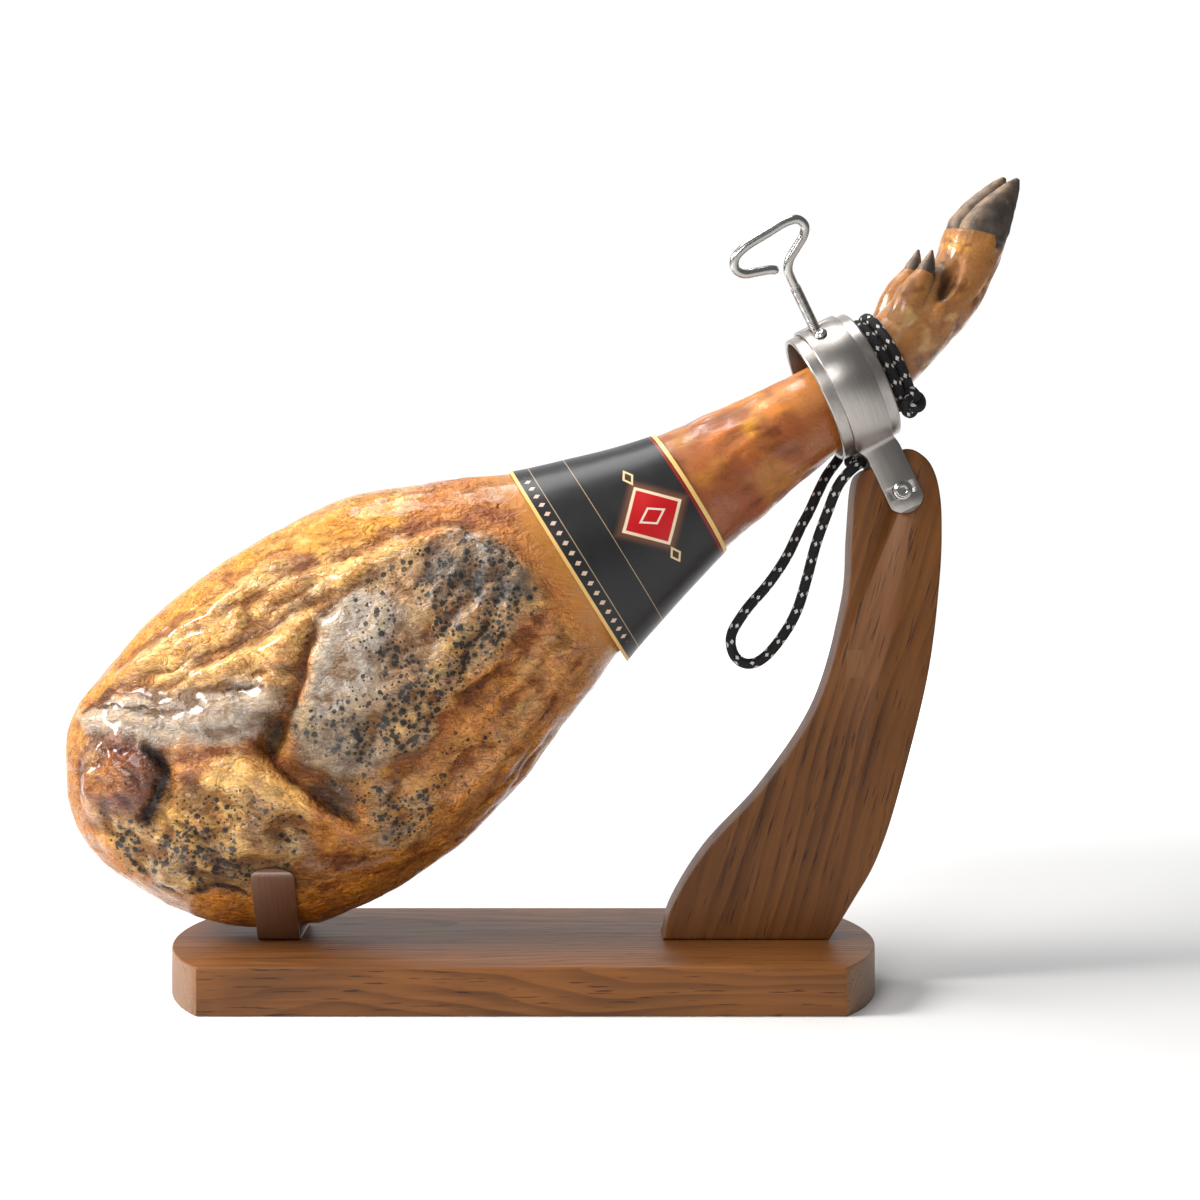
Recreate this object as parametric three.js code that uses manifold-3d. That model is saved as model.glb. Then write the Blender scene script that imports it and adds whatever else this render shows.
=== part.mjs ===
// A cured ham on its carving stand: a board, a curved upright, a steel cradle under the butt and
// a steel ring with a clamp screw round the shank. Millimetres, +Z up, X along the board, Y away
// from the front. The origin is the centre of the board's underside.
import * as THREE from 'three';
import { mergeVertices } from 'three/addons/utils/BufferGeometryUtils.js';
import Module from 'manifold-3d';

const wasm = await Module();
wasm.setup();

const radians = THREE.MathUtils.degToRad;

// Driving sizes
const gap = 0.3; // left between pieces that touch
const board = { length: 486, frontLength: 423, depth: 180, thickness: 32, easing: 1.4 };
const upright = { thickness: 30, easing: 1.5 };
const cradle = { x: -169, width: 29.4, thickness: 2, frontBend: -13, backBend: 31, bendRadius: 5,
  lean: 30, height: 88, crownRise: 4.5 };
const stud = { radius: 2.9, shank: 5, length: 11, pointRadius: 0.6, inset: 1.4, drop: 0.6, along: 1 };
const head = { x: 222.6, z: 415.6, tilt: 25.5 };
const ring = { innerRadius: 43.2, wall: 2.9, length: 44, rimRadius: 1.3 };
const strap = { thickness: 2.3, bandWidth: 27.4, earWidth: 24.6, filletRadius: 6, taperFrom: 41, taperTo: 53,
  earLength: 98, endRadius: 14 };
const bolt = { drop: 82, along: 3.5, radius: 4, headRadius: 6.3, headHeight: 3.2, socketRadius: 2.8,
  socketDepth: 2.2, crownRadius: 4.4, shoulderRadius: 5.4, shoulderDepth: 1.6, edgeDepth: 1.9,
  pastNut: 2, endChamfer: 0.8 };
const nut = { acrossFlats: 13, height: 6.5, turn: 10, chamfer: 0.6 };
const button = { turn: 37, along: -3.2, radius: 4.8, height: 2.6, edge: 0.7, slotWidth: 1.1, slotDepth: 0.8,
  play: 0.25 };
const screw = { turn: 22, lean: 4, along: -3, threadRadius: 3.9, rodRadius: 3.25, threadOut: 34,
  tipDepth: 20.9, holeDepth: 18, holeOut: 10 };
const foot = { radius: 8, thickness: 3, edge: 0.8, bossRadius: 6.2, bossHeight: 7, socketDepth: 4.5,
  socketPlay: 0.4, dentOut: 4 };
const rope = { diameter: 7.4 };
const sleeve = { thickness: 0.9, clearance: 0.4, droop: 8 };

const boardTop = board.thickness;
const ringRadius = ring.innerRadius + ring.wall;
const strapInner = ringRadius + gap;
const strapOuter = strapInner + strap.thickness;
const earInner = upright.thickness / 2 + gap;
const past = 8; // how far a blank runs past the face that trims it
const far = 100; // clear of the whole object across the front

// The front outline of the upright, x and z, from the foot's left corner round to its right one
const uprightLeftEdge = [[96.5, 32], [103, 56], [127, 94.5], [167, 138.5], [204, 195.5], [223.5, 264.5],
  [227, 310], [230, 346], [236, 356.5]];
const uprightCrown = [[247, 360.5], [259, 370], [267, 371.8], [275, 368.2], [282, 360.5], [287, 346]];
const uprightRightEdge = [[289.2, 322], [287.6, 280], [279, 212.5], [258, 129], [243.5, 87], [228, 59.5],
  [211, 32]];

// The straight part of the ham: where its axis meets the ring, and its slope in degrees
const legAxis = { x: 224.5, z: 415.8, slope: 31.9 };

// Sections of the straight part: the distance along the axis (minus is toward the butt), the drop
// of the centre below the axis, the shift away from the front, the half width in the upright
// plane, the half depth, and the fullness (2 is an ellipse)
const legSections = [
  { along: -618, drop: -12, away: 8, width: 10, depth: 9.5, full: 2 },
  { along: -614, drop: -13, away: 8, width: 28, depth: 22.8, full: 2 },
  { along: -605, drop: -12.5, away: 8, width: 47, depth: 34.2, full: 2 },
  { along: -591, drop: -10, away: 8, width: 72, depth: 44.6, full: 2 },
  { along: -571, drop: -5, away: 8, width: 91, depth: 52.2, full: 2 },
  { along: -547, drop: 0.5, away: 8, width: 105.5, depth: 57.9, full: 1.95 },
  { along: -512, drop: 3.5, away: 8, width: 119.5, depth: 62.7, full: 1.95 },
  { along: -470, drop: 4, away: 8, width: 127.5, depth: 65.5, full: 1.95 },
  { along: -428, drop: 3, away: 8, width: 128, depth: 66.5, full: 1.95 },
  { along: -384, drop: 1.5, away: 7, width: 125.5, depth: 65.5, full: 1.95 },
  { along: -340, drop: -2, away: 6, width: 117.5, depth: 62.7, full: 1.95 },
  { along: -300, drop: -2.5, away: 5, width: 102, depth: 58.9, full: 2 },
  { along: -262, drop: -1, away: 4, width: 87, depth: 58, full: 2 },
  { along: -231, drop: 0.5, away: 3, width: 73, depth: 54, full: 2 },
  { along: -180, drop: 3.5, away: 2, width: 58, depth: 47, full: 2 },
  { along: -131, drop: 5.8, away: 1, width: 46.3, depth: 40.5, full: 2 },
  { along: -76, drop: 5.5, away: 0, width: 37, depth: 33, full: 2 },
];

// Sections of the ankle and the trotter by the place of their centre; the heading is the slope
// of the bone in degrees
const ankleSections = [
  { at: [199, 0, 394.5], heading: 32.5, width: 31.5, depth: 29, full: 2 },
  { at: [224, 0, 409.5], heading: 36, width: 30.5, depth: 27.5, full: 2 },
  { at: [245, 0, 428.5], heading: 38, width: 26.5, depth: 25, full: 2 },
  { at: [259, 0, 442], heading: 40, width: 25.5, depth: 24, full: 2 },
  { at: [275.5, 0, 459.5], heading: 45, width: 25, depth: 24, full: 2 },
  { at: [296, 0, 480.5], heading: 52, width: 22, depth: 22, full: 2.1 },
  { at: [307, 0, 498], heading: 60, width: 20.6, depth: 21, full: 2.2 },
  { at: [315.5, 0, 521], heading: 77, width: 20.5, depth: 20.5, full: 2.3 },
];
const hamSections = [...legSections.map(legSection), ...ankleSections];
const plainSkin = { fadeFrom: -275, from: -234, to: -60, fadeTo: 0 };
const hamMesh = { ringsEach: 2, sides: 36, lobeSides: 14, clawSides: 16, dewclawSides: 12 };
const sleeveFrom = 13;
const sleeveTo = 15;

// Raised and sunken forms of the ham, seen from the front (side -1) or the back (side 1): the
// centre in x and z, the half length along the turn and the half width across it, the turn in
// degrees over the horizontal, and the height in millimetres
const hamForms = [
  { side: -1, at: [-273, 152], long: 30, wide: 27, turn: 70, rise: 12 },
  { side: -1, at: [-243, 138], long: 32, wide: 7, turn: 76, rise: -6 },
  { side: -1, at: [-238, 191], long: 62, wide: 15, turn: 2, rise: 4 },
  { side: -1, at: [-190, 277], long: 112, wide: 13, turn: 34, rise: 3 },
  { side: -1, at: [-184, 255], long: 92, wide: 8, turn: 31, rise: -4 },
  { side: -1, at: [-152, 291], long: 13, wide: 11, turn: 0, rise: 5 },
  { side: -1, at: [-72, 232], long: 96, wide: 50, turn: 38, rise: 7 },
  { side: -1, at: [-154, 217], long: 46, wide: 9, turn: 75, rise: -5 },
  { side: -1, at: [-167, 178], long: 15, wide: 10, turn: 80, rise: -9 },
  { side: -1, at: [-134, 137], long: 44, wide: 7, turn: -41, rise: -6 },
  { side: -1, at: [-150, 128], long: 45, wide: 8, turn: -41, rise: 4 },
  { side: -1, at: [-213, 104], long: 55, wide: 26, turn: -15, rise: 4 },
  { side: -1, at: [-48, 214], long: 10, wide: 8, turn: 0, rise: 4 },
  { side: -1, at: [-16, 232], long: 30, wide: 8, turn: 40, rise: 4 },
  { side: -1, at: [-20, 181], long: 76, wide: 10, turn: 57, rise: -4 },
  { side: -1, at: [292, 485], long: 13, wide: 5, turn: 62, rise: -8 },
  { side: 1, at: [-200, 150], long: 70, wide: 40, turn: 30, rise: 5 },
  { side: 1, at: [-120, 250], long: 90, wide: 14, turn: 34, rise: -4 },
  { side: 1, at: [-60, 190], long: 80, wide: 20, turn: 45, rise: -4 },
  { side: 1, at: [-255, 120], long: 26, wide: 22, turn: 50, rise: -5 },
];

// The horn of the near claw and the lobe under the near dewclaw, in the same form as the sections
const clawSections = [
  { at: [315.5, -10.8, 512], heading: 79, width: 15.6, depth: 9.4, full: 2.4 },
  { at: [317.5, -10.8, 519], heading: 78, width: 16.8, depth: 9.8, full: 2.4 },
  { at: [321, -10.8, 527.5], heading: 75, width: 16.4, depth: 9.6, full: 2.3 },
  { at: [327.5, -10.5, 538], heading: 70, width: 13, depth: 8.2, full: 2.2 },
  { at: [334, -10, 547], heading: 65, width: 9, depth: 6.2, full: 2.1 },
  { at: [339.5, -9.4, 554.5], heading: 60, width: 5.2, depth: 4, full: 2 },
  { at: [343, -9, 559.5], heading: 58, width: 1.6, depth: 1.4, full: 2 },
];
const farClawShift = [-3.8, 21.6, 5];
const lobeSections = [
  { at: [259, -9, 448], heading: 55, width: 11, depth: 10, full: 2 },
  { at: [262, -13, 460], heading: 60, width: 12.3, depth: 10.5, full: 2 },
  { at: [267, -15, 473], heading: 63, width: 12, depth: 10, full: 2 },
  { at: [273, -16, 485], heading: 65, width: 9.6, depth: 8.6, full: 2 },
  { at: [277.4, -16.4, 493.5], heading: 67, width: 6.6, depth: 6.2, full: 2 },
];
const dewclawSections = [
  { at: [275.6, -16.4, 489], heading: 67, width: 4.2, depth: 4, full: 2 },
  { at: [277.8, -16.5, 495], heading: 69, width: 6.1, depth: 5.4, full: 2 },
  { at: [280, -16.6, 502], heading: 74, width: 3.9, depth: 3.6, full: 2 },
  { at: [281.8, -16.6, 509], heading: 78, width: 0.8, depth: 0.8, full: 2 },
];
const farLobeShift = [-3.4, 29, 4.8];

// The bent handle of the screw: across the screw and out along it, from the end of the thread
const handleLine = [[0, -2], [0, 6], [0.8, 12], [4.6, 17.6], [12.6, 22.8], [20.4, 27.8], [23.8, 33.4],
  [21.2, 39.6], [13.4, 42], [0, 41.8], [-20, 40.8], [-28.4, 37.4], [-31.2, 31.2], [-28, 25.4], [-20, 22],
  [-9.6, 18], [-5, 14.6]];

// The hanging loop of rope. Its two strands run behind the ring in the ring's own frame (x along
// the ring, y away from the front, z up out of its top), and hang in the world's
const leftStrand = [[31, 39.6, 3], [27, 46.5, -3], [19, 50.4, -11], [8, 50, -21.5], [-3, 44, -32.5],
  [-14, 35.4, -41.4], [-20, 27.4, -45.2]];
const hangingStrand = [[214.9, 21, 354.6], [207.8, 15, 342.4], [200.7, 10, 328.4], [194.6, 7, 317.8],
  [183.5, 3, 296.1], [170.3, 1, 277.2], [155.2, 0, 259.7], [145.2, 0, 243], [144.7, 0, 235],
  [147.4, 0, 227.4], [153.1, 0, 222.8], [160, 0, 222.4], [168.2, 0, 226.8], [181.6, -1, 243], [190.6, -2, 259.8],
  [197.4, -3, 282.2], [203.4, -5, 305.9], [210.6, -8, 327.2], [218, -10.4, 346.4]];
const rightStrand = [[-24.6, -10.6, -55.6], [-16.8, -8, -53.6], [-11.8, -3.2, -53.3], [-10.2, 3, -53.3],
  [-12.2, 10, -53], [-14.8, 17.6, -51.4], [-13.2, 25.6, -48.9], [-7.6, 31.6, -45.8], [1.5, 36.6, -41.8],
  [11, 42, -35.2], [20, 46.4, -26.4], [28.4, 43.4, -19.6], [33, 37.4, -15.6]];

// The rope's two turns round the ankle, in the ring's frame: an oval about the leg
const wrap = { from: 26, pitch: 7.7, turns: 1.9, start: 130, rise: 1.6, climb: 0.25, halfHeight: 33,
  halfDepth: 30.2, taper: 0.06 };
const knot = { at: [35.2, -19, -29.6], size: 2.75, squeeze: 0.8, depth: 1.5, lean: 20, tighter: 0.2 };
const ropeMesh = { loopSteps: 62, wrapSteps: 38, knotSteps: 34, sides: 8, knotSides: 7 };

// Looks
const paint = {
  wood: { color: 0x6f4423, roughness: 0.5, metalness: 0 },
  steel: { color: 0xb9b4ae, roughness: 0.32, metalness: 1 },
  cradleSteel: { color: 0x8d8079, roughness: 0.35, metalness: 1 },
  polished: { color: 0xc9c6c1, roughness: 0.16, metalness: 1 },
  ham: { color: 0xb4762f, roughness: 0.38, metalness: 0 },
  horn: { color: 0x4a423b, roughness: 0.5, metalness: 0 },
  label: { color: 0x161617, roughness: 0.4, metalness: 0 },
  cord: { color: 0x0e0e0f, roughness: 0.8, metalness: 0 },
};


// Solids and meshes
function solidOf(geometry) {
  const bare = geometry.clone();
  bare.deleteAttribute('normal');
  bare.deleteAttribute('uv');
  const merged = mergeVertices(bare, 1e-4);
  const places = merged.getAttribute('position');
  const corners = Array.from(merged.index.array);
  const a = new THREE.Vector3();
  const b = new THREE.Vector3();
  const c = new THREE.Vector3();
  let kept = [];
  let volume = 0;
  for (let i = 0; i < corners.length; i += 3) {
    const [p, q, r] = corners.slice(i, i + 3);
    if (p === q || q === r || r === p) continue;
    kept.push(p, q, r);
    a.fromBufferAttribute(places, p);
    b.fromBufferAttribute(places, q);
    c.fromBufferAttribute(places, r);
    volume += a.dot(b.cross(c));
  }
  if (volume < 0) kept = kept.reverse();
  return new wasm.Manifold(new wasm.Mesh({
    numProp: 3,
    vertProperties: new Float32Array(places.array),
    triVerts: new Uint32Array(kept),
  }));
}

function geometryOf(solid) {
  const mesh = solid.getMesh();
  const geometry = new THREE.BufferGeometry();
  geometry.setAttribute('position', new THREE.BufferAttribute(new Float32Array(mesh.vertProperties), 3));
  geometry.setIndex(Array.from(mesh.triVerts));
  geometry.computeVertexNormals();
  return geometry;
}

function meshOf(name, solid, look) {
  const mesh = new THREE.Mesh(geometryOf(solid), new THREE.MeshStandardMaterial(look));
  mesh.name = name;
  return mesh;
}

function joined(solids) {
  return solids.reduce((whole, piece) => whole.add(piece));
}

// An outline drawn in x and z becomes a plate with its thickness along Y, centred on y = 0
function plateAcross(shape, thickness, easing = 0, curveSegments = 12) {
  const geometry = new THREE.ExtrudeGeometry(shape, {
    depth: thickness - 2 * easing, curveSegments, bevelEnabled: easing > 0,
    bevelThickness: easing, bevelSize: easing, bevelOffset: -easing, bevelSegments: 1,
  });
  geometry.translate(0, 0, -(thickness - 2 * easing) / 2);
  return geometry.rotateX(Math.PI / 2);
}

// A profile drawn in y and z becomes a bar along X, centred on x = 0
function barAlong(shape, length) {
  const geometry = new THREE.ExtrudeGeometry(shape, { depth: length, bevelEnabled: false, curveSegments: 8 });
  geometry.translate(0, 0, -length / 2);
  const turned = new THREE.Matrix4().makeBasis(
    new THREE.Vector3(0, 1, 0), new THREE.Vector3(0, 0, 1), new THREE.Vector3(1, 0, 0));
  return geometry.applyMatrix4(turned);
}

function rod(radius, from, to, sides = 20) {
  const start = new THREE.Vector3(...from);
  const line = new THREE.Vector3(...to).sub(start);
  const geometry = new THREE.CylinderGeometry(radius, radius, line.length(), sides);
  geometry.translate(0, line.length() / 2, 0);
  geometry.applyQuaternion(new THREE.Quaternion().setFromUnitVectors(
    new THREE.Vector3(0, 1, 0), line.normalize()));
  return geometry.translate(start.x, start.y, start.z);
}

// A profile of [radius, height] points, turned round the Z axis
function turned(points, sides) {
  const profile = points.map(([radius, height]) => new THREE.Vector2(radius, height));
  return new THREE.LatheGeometry(profile, sides).rotateX(Math.PI / 2);
}

function circleShape(radius, sides) {
  const shape = new THREE.Shape();
  for (let i = 0; i < sides; i++) {
    const angle = (2 * Math.PI * i) / sides;
    shape[i ? 'lineTo' : 'moveTo'](radius * Math.cos(angle), radius * Math.sin(angle));
  }
  return shape;
}

function tubeAlong(points, radius, steps, sides) {
  const line = new THREE.CatmullRomCurve3(points.map((p) => new THREE.Vector3(...p)));
  return new THREE.ExtrudeGeometry(circleShape(radius, sides), { steps, extrudePath: line });
}

// A strip of even thickness along a line of points in a plane, as a closed outline
function stripOutline(points, thickness) {
  const left = [];
  const right = [];
  points.forEach((point, i) => {
    const before = points[Math.max(i - 1, 0)];
    const after = points[Math.min(i + 1, points.length - 1)];
    const along = after.clone().sub(before).normalize();
    const side = new THREE.Vector2(-along.y, along.x).multiplyScalar(thickness / 2);
    left.push(point.clone().add(side));
    right.unshift(point.clone().sub(side));
  });
  return new THREE.Shape([...left, ...right]);
}

function arcPoints(cx, cy, radius, fromAngle, toAngle, steps) {
  const points = [];
  for (let i = 0; i <= steps; i++) {
    const angle = radians(fromAngle + ((toAngle - fromAngle) * i) / steps);
    points.push(new THREE.Vector2(cx + radius * Math.cos(angle), cy + radius * Math.sin(angle)));
  }
  return points;
}

// Rings of points skinned into one closed body with a fan at each end
function skinOver(rings) {
  const count = rings[0].length;
  const places = rings.flat().flatMap((p) => [p.x, p.y, p.z]);
  const corners = [];
  for (let r = 0; r + 1 < rings.length; r++) {
    for (let i = 0; i < count; i++) {
      const a = r * count + i;
      const b = r * count + ((i + 1) % count);
      corners.push(a, b, a + count, b, b + count, a + count);
    }
  }
  [0, rings.length - 1].forEach((r) => {
    const middle = new THREE.Vector3();
    rings[r].forEach((p) => middle.addScaledVector(p, 1 / count));
    const hub = places.length / 3;
    places.push(middle.x, middle.y, middle.z);
    for (let i = 0; i < count; i++) {
      const a = r * count + i;
      const b = r * count + ((i + 1) % count);
      corners.push(...(r === 0 ? [hub, b, a] : [hub, a, b]));
    }
  });
  const geometry = new THREE.BufferGeometry();
  geometry.setAttribute('position', new THREE.Float32BufferAttribute(places, 3));
  geometry.setIndex(corners);
  return geometry;
}

// A section of the straight part, placed in the world
function legSection({ along, drop, away, width, depth, full }) {
  const slope = radians(legAxis.slope);
  const x = legAxis.x + along * Math.cos(slope) + drop * Math.sin(slope);
  const z = legAxis.z + along * Math.sin(slope) - drop * Math.cos(slope);
  return { at: [x, away, z], heading: legAxis.slope, width, depth, full };
}

// A section between the named ones, at a place that counts from the first
function sectionAt(sections, place) {
  const curve = (pick) => new THREE.CatmullRomCurve3(
    sections.map((s) => new THREE.Vector3(...pick(s))), false, 'catmullrom');
  const share = place / (sections.length - 1);
  const at = curve((s) => s.at).getPoint(share);
  const size = curve((s) => [s.width, s.depth, s.full]).getPoint(share);
  const turn = curve((s) => [s.heading, 0, 0]).getPoint(share);
  return { at, width: size.x, depth: size.y, full: size.z, heading: turn.x };
}

// A point on a section's rim; the angle runs from its underside towards the back
function rimPoint(section, angle, grow = 0) {
  const bend = (value) => Math.sign(value) * Math.abs(value) ** (2 / section.full);
  const down = (section.width + grow) * bend(Math.cos(angle));
  const away = (section.depth + grow) * bend(Math.sin(angle));
  const heading = radians(section.heading);
  return new THREE.Vector3(
    section.at.x + down * Math.sin(heading), section.at.y + away,
    section.at.z - down * Math.cos(heading));
}

function ringOf(section, sides, grow = 0) {
  return Array.from({ length: sides }, (_, i) => rimPoint(section, (2 * Math.PI * i) / sides, grow));
}

function loft(sections, ringsEach, sides, grow = 0) {
  const count = (sections.length - 1) * ringsEach;
  const rings = [];
  for (let i = 0; i <= count; i++) rings.push(ringOf(sectionAt(sections, i / ringsEach), sides, grow));
  return skinOver(rings);
}

// The same sections with the first one moved back, for the space that a horn needs in the skin
function seated(sections) {
  const heading = radians(sections[0].heading);
  const [x, y, z] = sections[0].at;
  const back = { ...sections[0], at: [x - gap * Math.cos(heading), y, z - gap * Math.sin(heading)] };
  return [back, ...sections.slice(1)];
}

function shifted(sections, shift) {
  return sections.map((s) => ({ ...s, at: s.at.map((value, i) => value + shift[i]) }));
}

// How far the ham's forms raise the surface at a point that faces the front or the back. They
// die away before the paper sleeve, which lies on plain skin
function formRise(point, facing) {
  const slope = radians(legAxis.slope);
  const reach = (point.x - legAxis.x) * Math.cos(slope) + (point.z - legAxis.z) * Math.sin(slope);
  const cover = 1 - THREE.MathUtils.smoothstep(reach, plainSkin.fadeFrom, plainSkin.from)
    * (1 - THREE.MathUtils.smoothstep(reach, plainSkin.to, plainSkin.fadeTo));
  let rise = 0;
  hamForms.forEach((form) => {
    const weight = Math.max(0, form.side * facing);
    const dx = point.x - form.at[0];
    const dz = point.z - form.at[1];
    const turn = radians(form.turn);
    const along = (dx * Math.cos(turn) + dz * Math.sin(turn)) / form.long;
    const across = (-dx * Math.sin(turn) + dz * Math.cos(turn)) / form.wide;
    rise += form.rise * weight * Math.exp(-((along * along + across * across) ** 2));
  });
  return rise * cover;
}

// The board, the upright and the cradle
function makeBoard() {
  const reach = board.length / 2;
  const flat = board.frontLength / 2;
  const half = board.depth / 2;
  const rise = reach - flat;
  const radius = (half * half + rise * rise) / (2 * rise);
  const turn = Math.asin(half / radius);
  const shape = new THREE.Shape();
  shape.absarc(reach - radius, 0, radius, -turn, turn, false);
  shape.absarc(radius - reach, 0, radius, Math.PI - turn, Math.PI + turn, false);
  const geometry = new THREE.ExtrudeGeometry(shape, {
    depth: board.thickness - 2 * board.easing, curveSegments: 10, bevelEnabled: true,
    bevelThickness: board.easing, bevelSize: board.easing, bevelOffset: -board.easing, bevelSegments: 1,
  });
  return solidOf(geometry.translate(0, 0, board.easing));
}

function makeUpright() {
  const shape = new THREE.Shape();
  const points = [...uprightLeftEdge, ...uprightCrown, ...uprightRightEdge];
  const curve = new THREE.SplineCurve(points.map(([x, z]) => new THREE.Vector2(x, z)));
  const edge = curve.getPoints(48);
  shape.moveTo(edge[0].x, edge[0].y - past);
  edge.forEach((p) => shape.lineTo(p.x, p.y));
  shape.lineTo(edge.at(-1).x, edge.at(-1).y - past);
  const plank = solidOf(plateAcross(shape, upright.thickness, upright.easing));
  const below = new THREE.BoxGeometry(board.length, board.depth, 2 * boardTop).translate(0, 0, gap);
  const [x, z] = boltPlace();
  const hole = rod(bolt.radius + gap, [x, -board.depth, z], [x, board.depth, z]);
  return plank.subtract(solidOf(below)).subtract(solidOf(hole));
}

function makeCradle(grow = 0) {
  const lean = radians(cradle.lean);
  const centreZ = boardTop + gap + cradle.thickness / 2;
  const radius = cradle.bendRadius;
  const arm = (bendY, side) => {
    const end = side > 0 ? -cradle.lean : -180 + cradle.lean;
    const bend = arcPoints(bendY, centreZ + radius, radius, -90, end, 4);
    const root = bend.at(-1);
    const length = (cradle.height + past - root.y) / Math.cos(lean);
    const tip = new THREE.Vector2(root.x + side * length * Math.sin(lean), root.y + length * Math.cos(lean));
    return [...bend, tip];
  };
  const line = [...arm(cradle.frontBend, -1).reverse(), ...arm(cradle.backBend, 1)];
  const strip = solidOf(barAlong(stripOutline(line, cradle.thickness + 2 * grow), cradle.width + 2 * grow)
    .translate(cradle.x, 0, 0));
  const half = cradle.width / 2 + grow;
  const rise = cradle.crownRise;
  const crown = (half * half + rise * rise) / (2 * rise);
  const turn = (Math.asin(half / crown) * 180) / Math.PI;
  const top = cradle.height + grow;
  const outline = new THREE.Shape([
    new THREE.Vector2(-half - 1, 0), new THREE.Vector2(half + 1, 0),
    ...arcPoints(0, top - crown, crown, 90 - turn, 90 + turn, 10)]);
  const window = solidOf(plateAcross(outline, 2 * board.depth).translate(cradle.x, 0, 0));
  return strip.intersect(window);
}

// The small pins at the tips of the cradle's arms, which point into the meat
function makeStud(side, grow = 0) {
  const reach = (cradle.height - boardTop) * Math.tan(radians(cradle.lean));
  const tipY = side < 0 ? cradle.frontBend - reach : cradle.backBend + reach;
  const y = tipY - side * stud.inset;
  const profile = [[0, -grow], [stud.radius + grow, -grow], [stud.radius + grow, stud.shank],
    [stud.pointRadius + grow, stud.length + grow], [0, stud.length + grow]];
  const pin = turned(profile, 12).rotateX(side * Math.PI / 2);
  return solidOf(pin.translate(cradle.x + stud.along, y, cradle.height - stud.drop));
}

// The head's own frame: x along the ring, y away from the front, z up out of the ring's top
const headFrame = new THREE.Matrix4().makeRotationY(-radians(head.tilt)).setPosition(head.x, 0, head.z);

function inWorld(geometry, ...frames) {
  [...frames].reverse().forEach((frame) => geometry.applyMatrix4(frame));
  return geometry;
}

function boltPlace() {
  const place = new THREE.Vector3(bolt.along, 0, -bolt.drop).applyMatrix4(headFrame);
  return [place.x, place.z];
}

// The screw's frame: z out along the screw from the strap's face, x across it in the handle's plane
const screwFrame = (() => {
  const lean = radians(screw.lean);
  const turn = radians(screw.turn);
  const out = new THREE.Vector3(
    -Math.sin(lean), -Math.cos(lean) * Math.sin(turn), Math.cos(lean) * Math.cos(turn));
  const away = new THREE.Vector3(0, 1, 0);
  away.addScaledVector(out, -away.dot(out)).normalize();
  const across = away.clone().cross(out);
  return new THREE.Matrix4().makeBasis(across, away, out)
    .setPosition(screw.along, -strapOuter * Math.sin(turn), strapOuter * Math.cos(turn));
})();

function screwHole() {
  const hole = rod(screw.threadRadius + gap, [0, 0, -screw.holeDepth], [0, 0, screw.holeOut]);
  return solidOf(inWorld(hole, screwFrame));
}

function makeRing() {
  const half = ring.length / 2;
  const round = ring.rimRadius;
  const rim = (side) => {
    const start = side > 0 ? 0 : 180;
    const middle = ring.innerRadius + ring.wall / 2;
    return arcPoints(middle, side * (half - round), ring.wall / 2, start, start + 180, 3);
  };
  const profile = [...rim(1), ...rim(-1)].map((p) => [p.x, p.y]);
  const body = solidOf(turned([...profile, profile[0]], 40).rotateY(Math.PI / 2));
  return solidOf(inWorld(geometryOf(body.subtract(screwHole())), headFrame));
}

// The band goes once round the ring and comes down as two flat ears that hold the upright
function makeStrap() {
  const radius = (strapInner + strapOuter) / 2;
  const ear = earInner + strap.thickness / 2;
  const fillet = strap.filletRadius;
  const filletY = ear + fillet;
  const filletZ = -Math.sqrt((radius + fillet) ** 2 - filletY ** 2);
  const meet = (Math.atan2(filletZ, filletY) * 180) / Math.PI;
  const line = [
    new THREE.Vector2(ear, -strap.earLength - past),
    ...arcPoints(filletY, filletZ, fillet, 180, 180 + meet, 4),
    ...arcPoints(0, 0, radius, meet, 180 - meet, 34),
    ...arcPoints(-filletY, filletZ, fillet, -meet, 0, 4),
    new THREE.Vector2(-ear, -strap.earLength - past),
  ];
  const band = solidOf(barAlong(stripOutline(line, strap.thickness), strap.bandWidth));
  const wide = strap.bandWidth / 2 + 1;
  const narrow = strap.earWidth / 2;
  const middle = bolt.along;
  const endTurn = (Math.acos(narrow / strap.endRadius) * 180) / Math.PI;
  const endZ = -strap.earLength + strap.endRadius;
  const outline = new THREE.Shape([
    new THREE.Vector2(-wide, far), new THREE.Vector2(-wide, -strap.taperFrom),
    new THREE.Vector2(middle - narrow, -strap.taperTo),
    ...arcPoints(middle, endZ, strap.endRadius, 180 + endTurn, 360 - endTurn, 10),
    new THREE.Vector2(middle + narrow, -strap.taperTo),
    new THREE.Vector2(wide, -strap.taperFrom), new THREE.Vector2(wide, far),
  ]);
  const hole = rod(bolt.radius + gap, [bolt.along, -far, -bolt.drop], [bolt.along, far, -bolt.drop]);
  const window = solidOf(plateAcross(outline, 2 * far));
  const body = band.intersect(window).subtract(solidOf(hole)).subtract(screwHole());
  return solidOf(inWorld(geometryOf(body), headFrame));
}

// The pivot bolt, its nut and the button beside the screw
function makeBolt() {
  const face = earInner + strap.thickness + gap;
  const end = face + nut.height + bolt.pastNut;
  const top = -face - bolt.headHeight;
  const profile = [
    [0, top + bolt.socketDepth], [bolt.socketRadius, top + bolt.socketDepth], [bolt.socketRadius, top],
    [bolt.crownRadius, top], [bolt.shoulderRadius, top + bolt.shoulderDepth],
    [bolt.headRadius, top + bolt.edgeDepth], [bolt.headRadius, -face], [bolt.radius, -face],
    [bolt.radius, end - bolt.endChamfer], [bolt.radius - bolt.endChamfer, end], [0, end]];
  const [x, z] = boltPlace();
  return solidOf(turned(profile, 20).rotateX(-Math.PI / 2).translate(x, 0, z));
}

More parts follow.
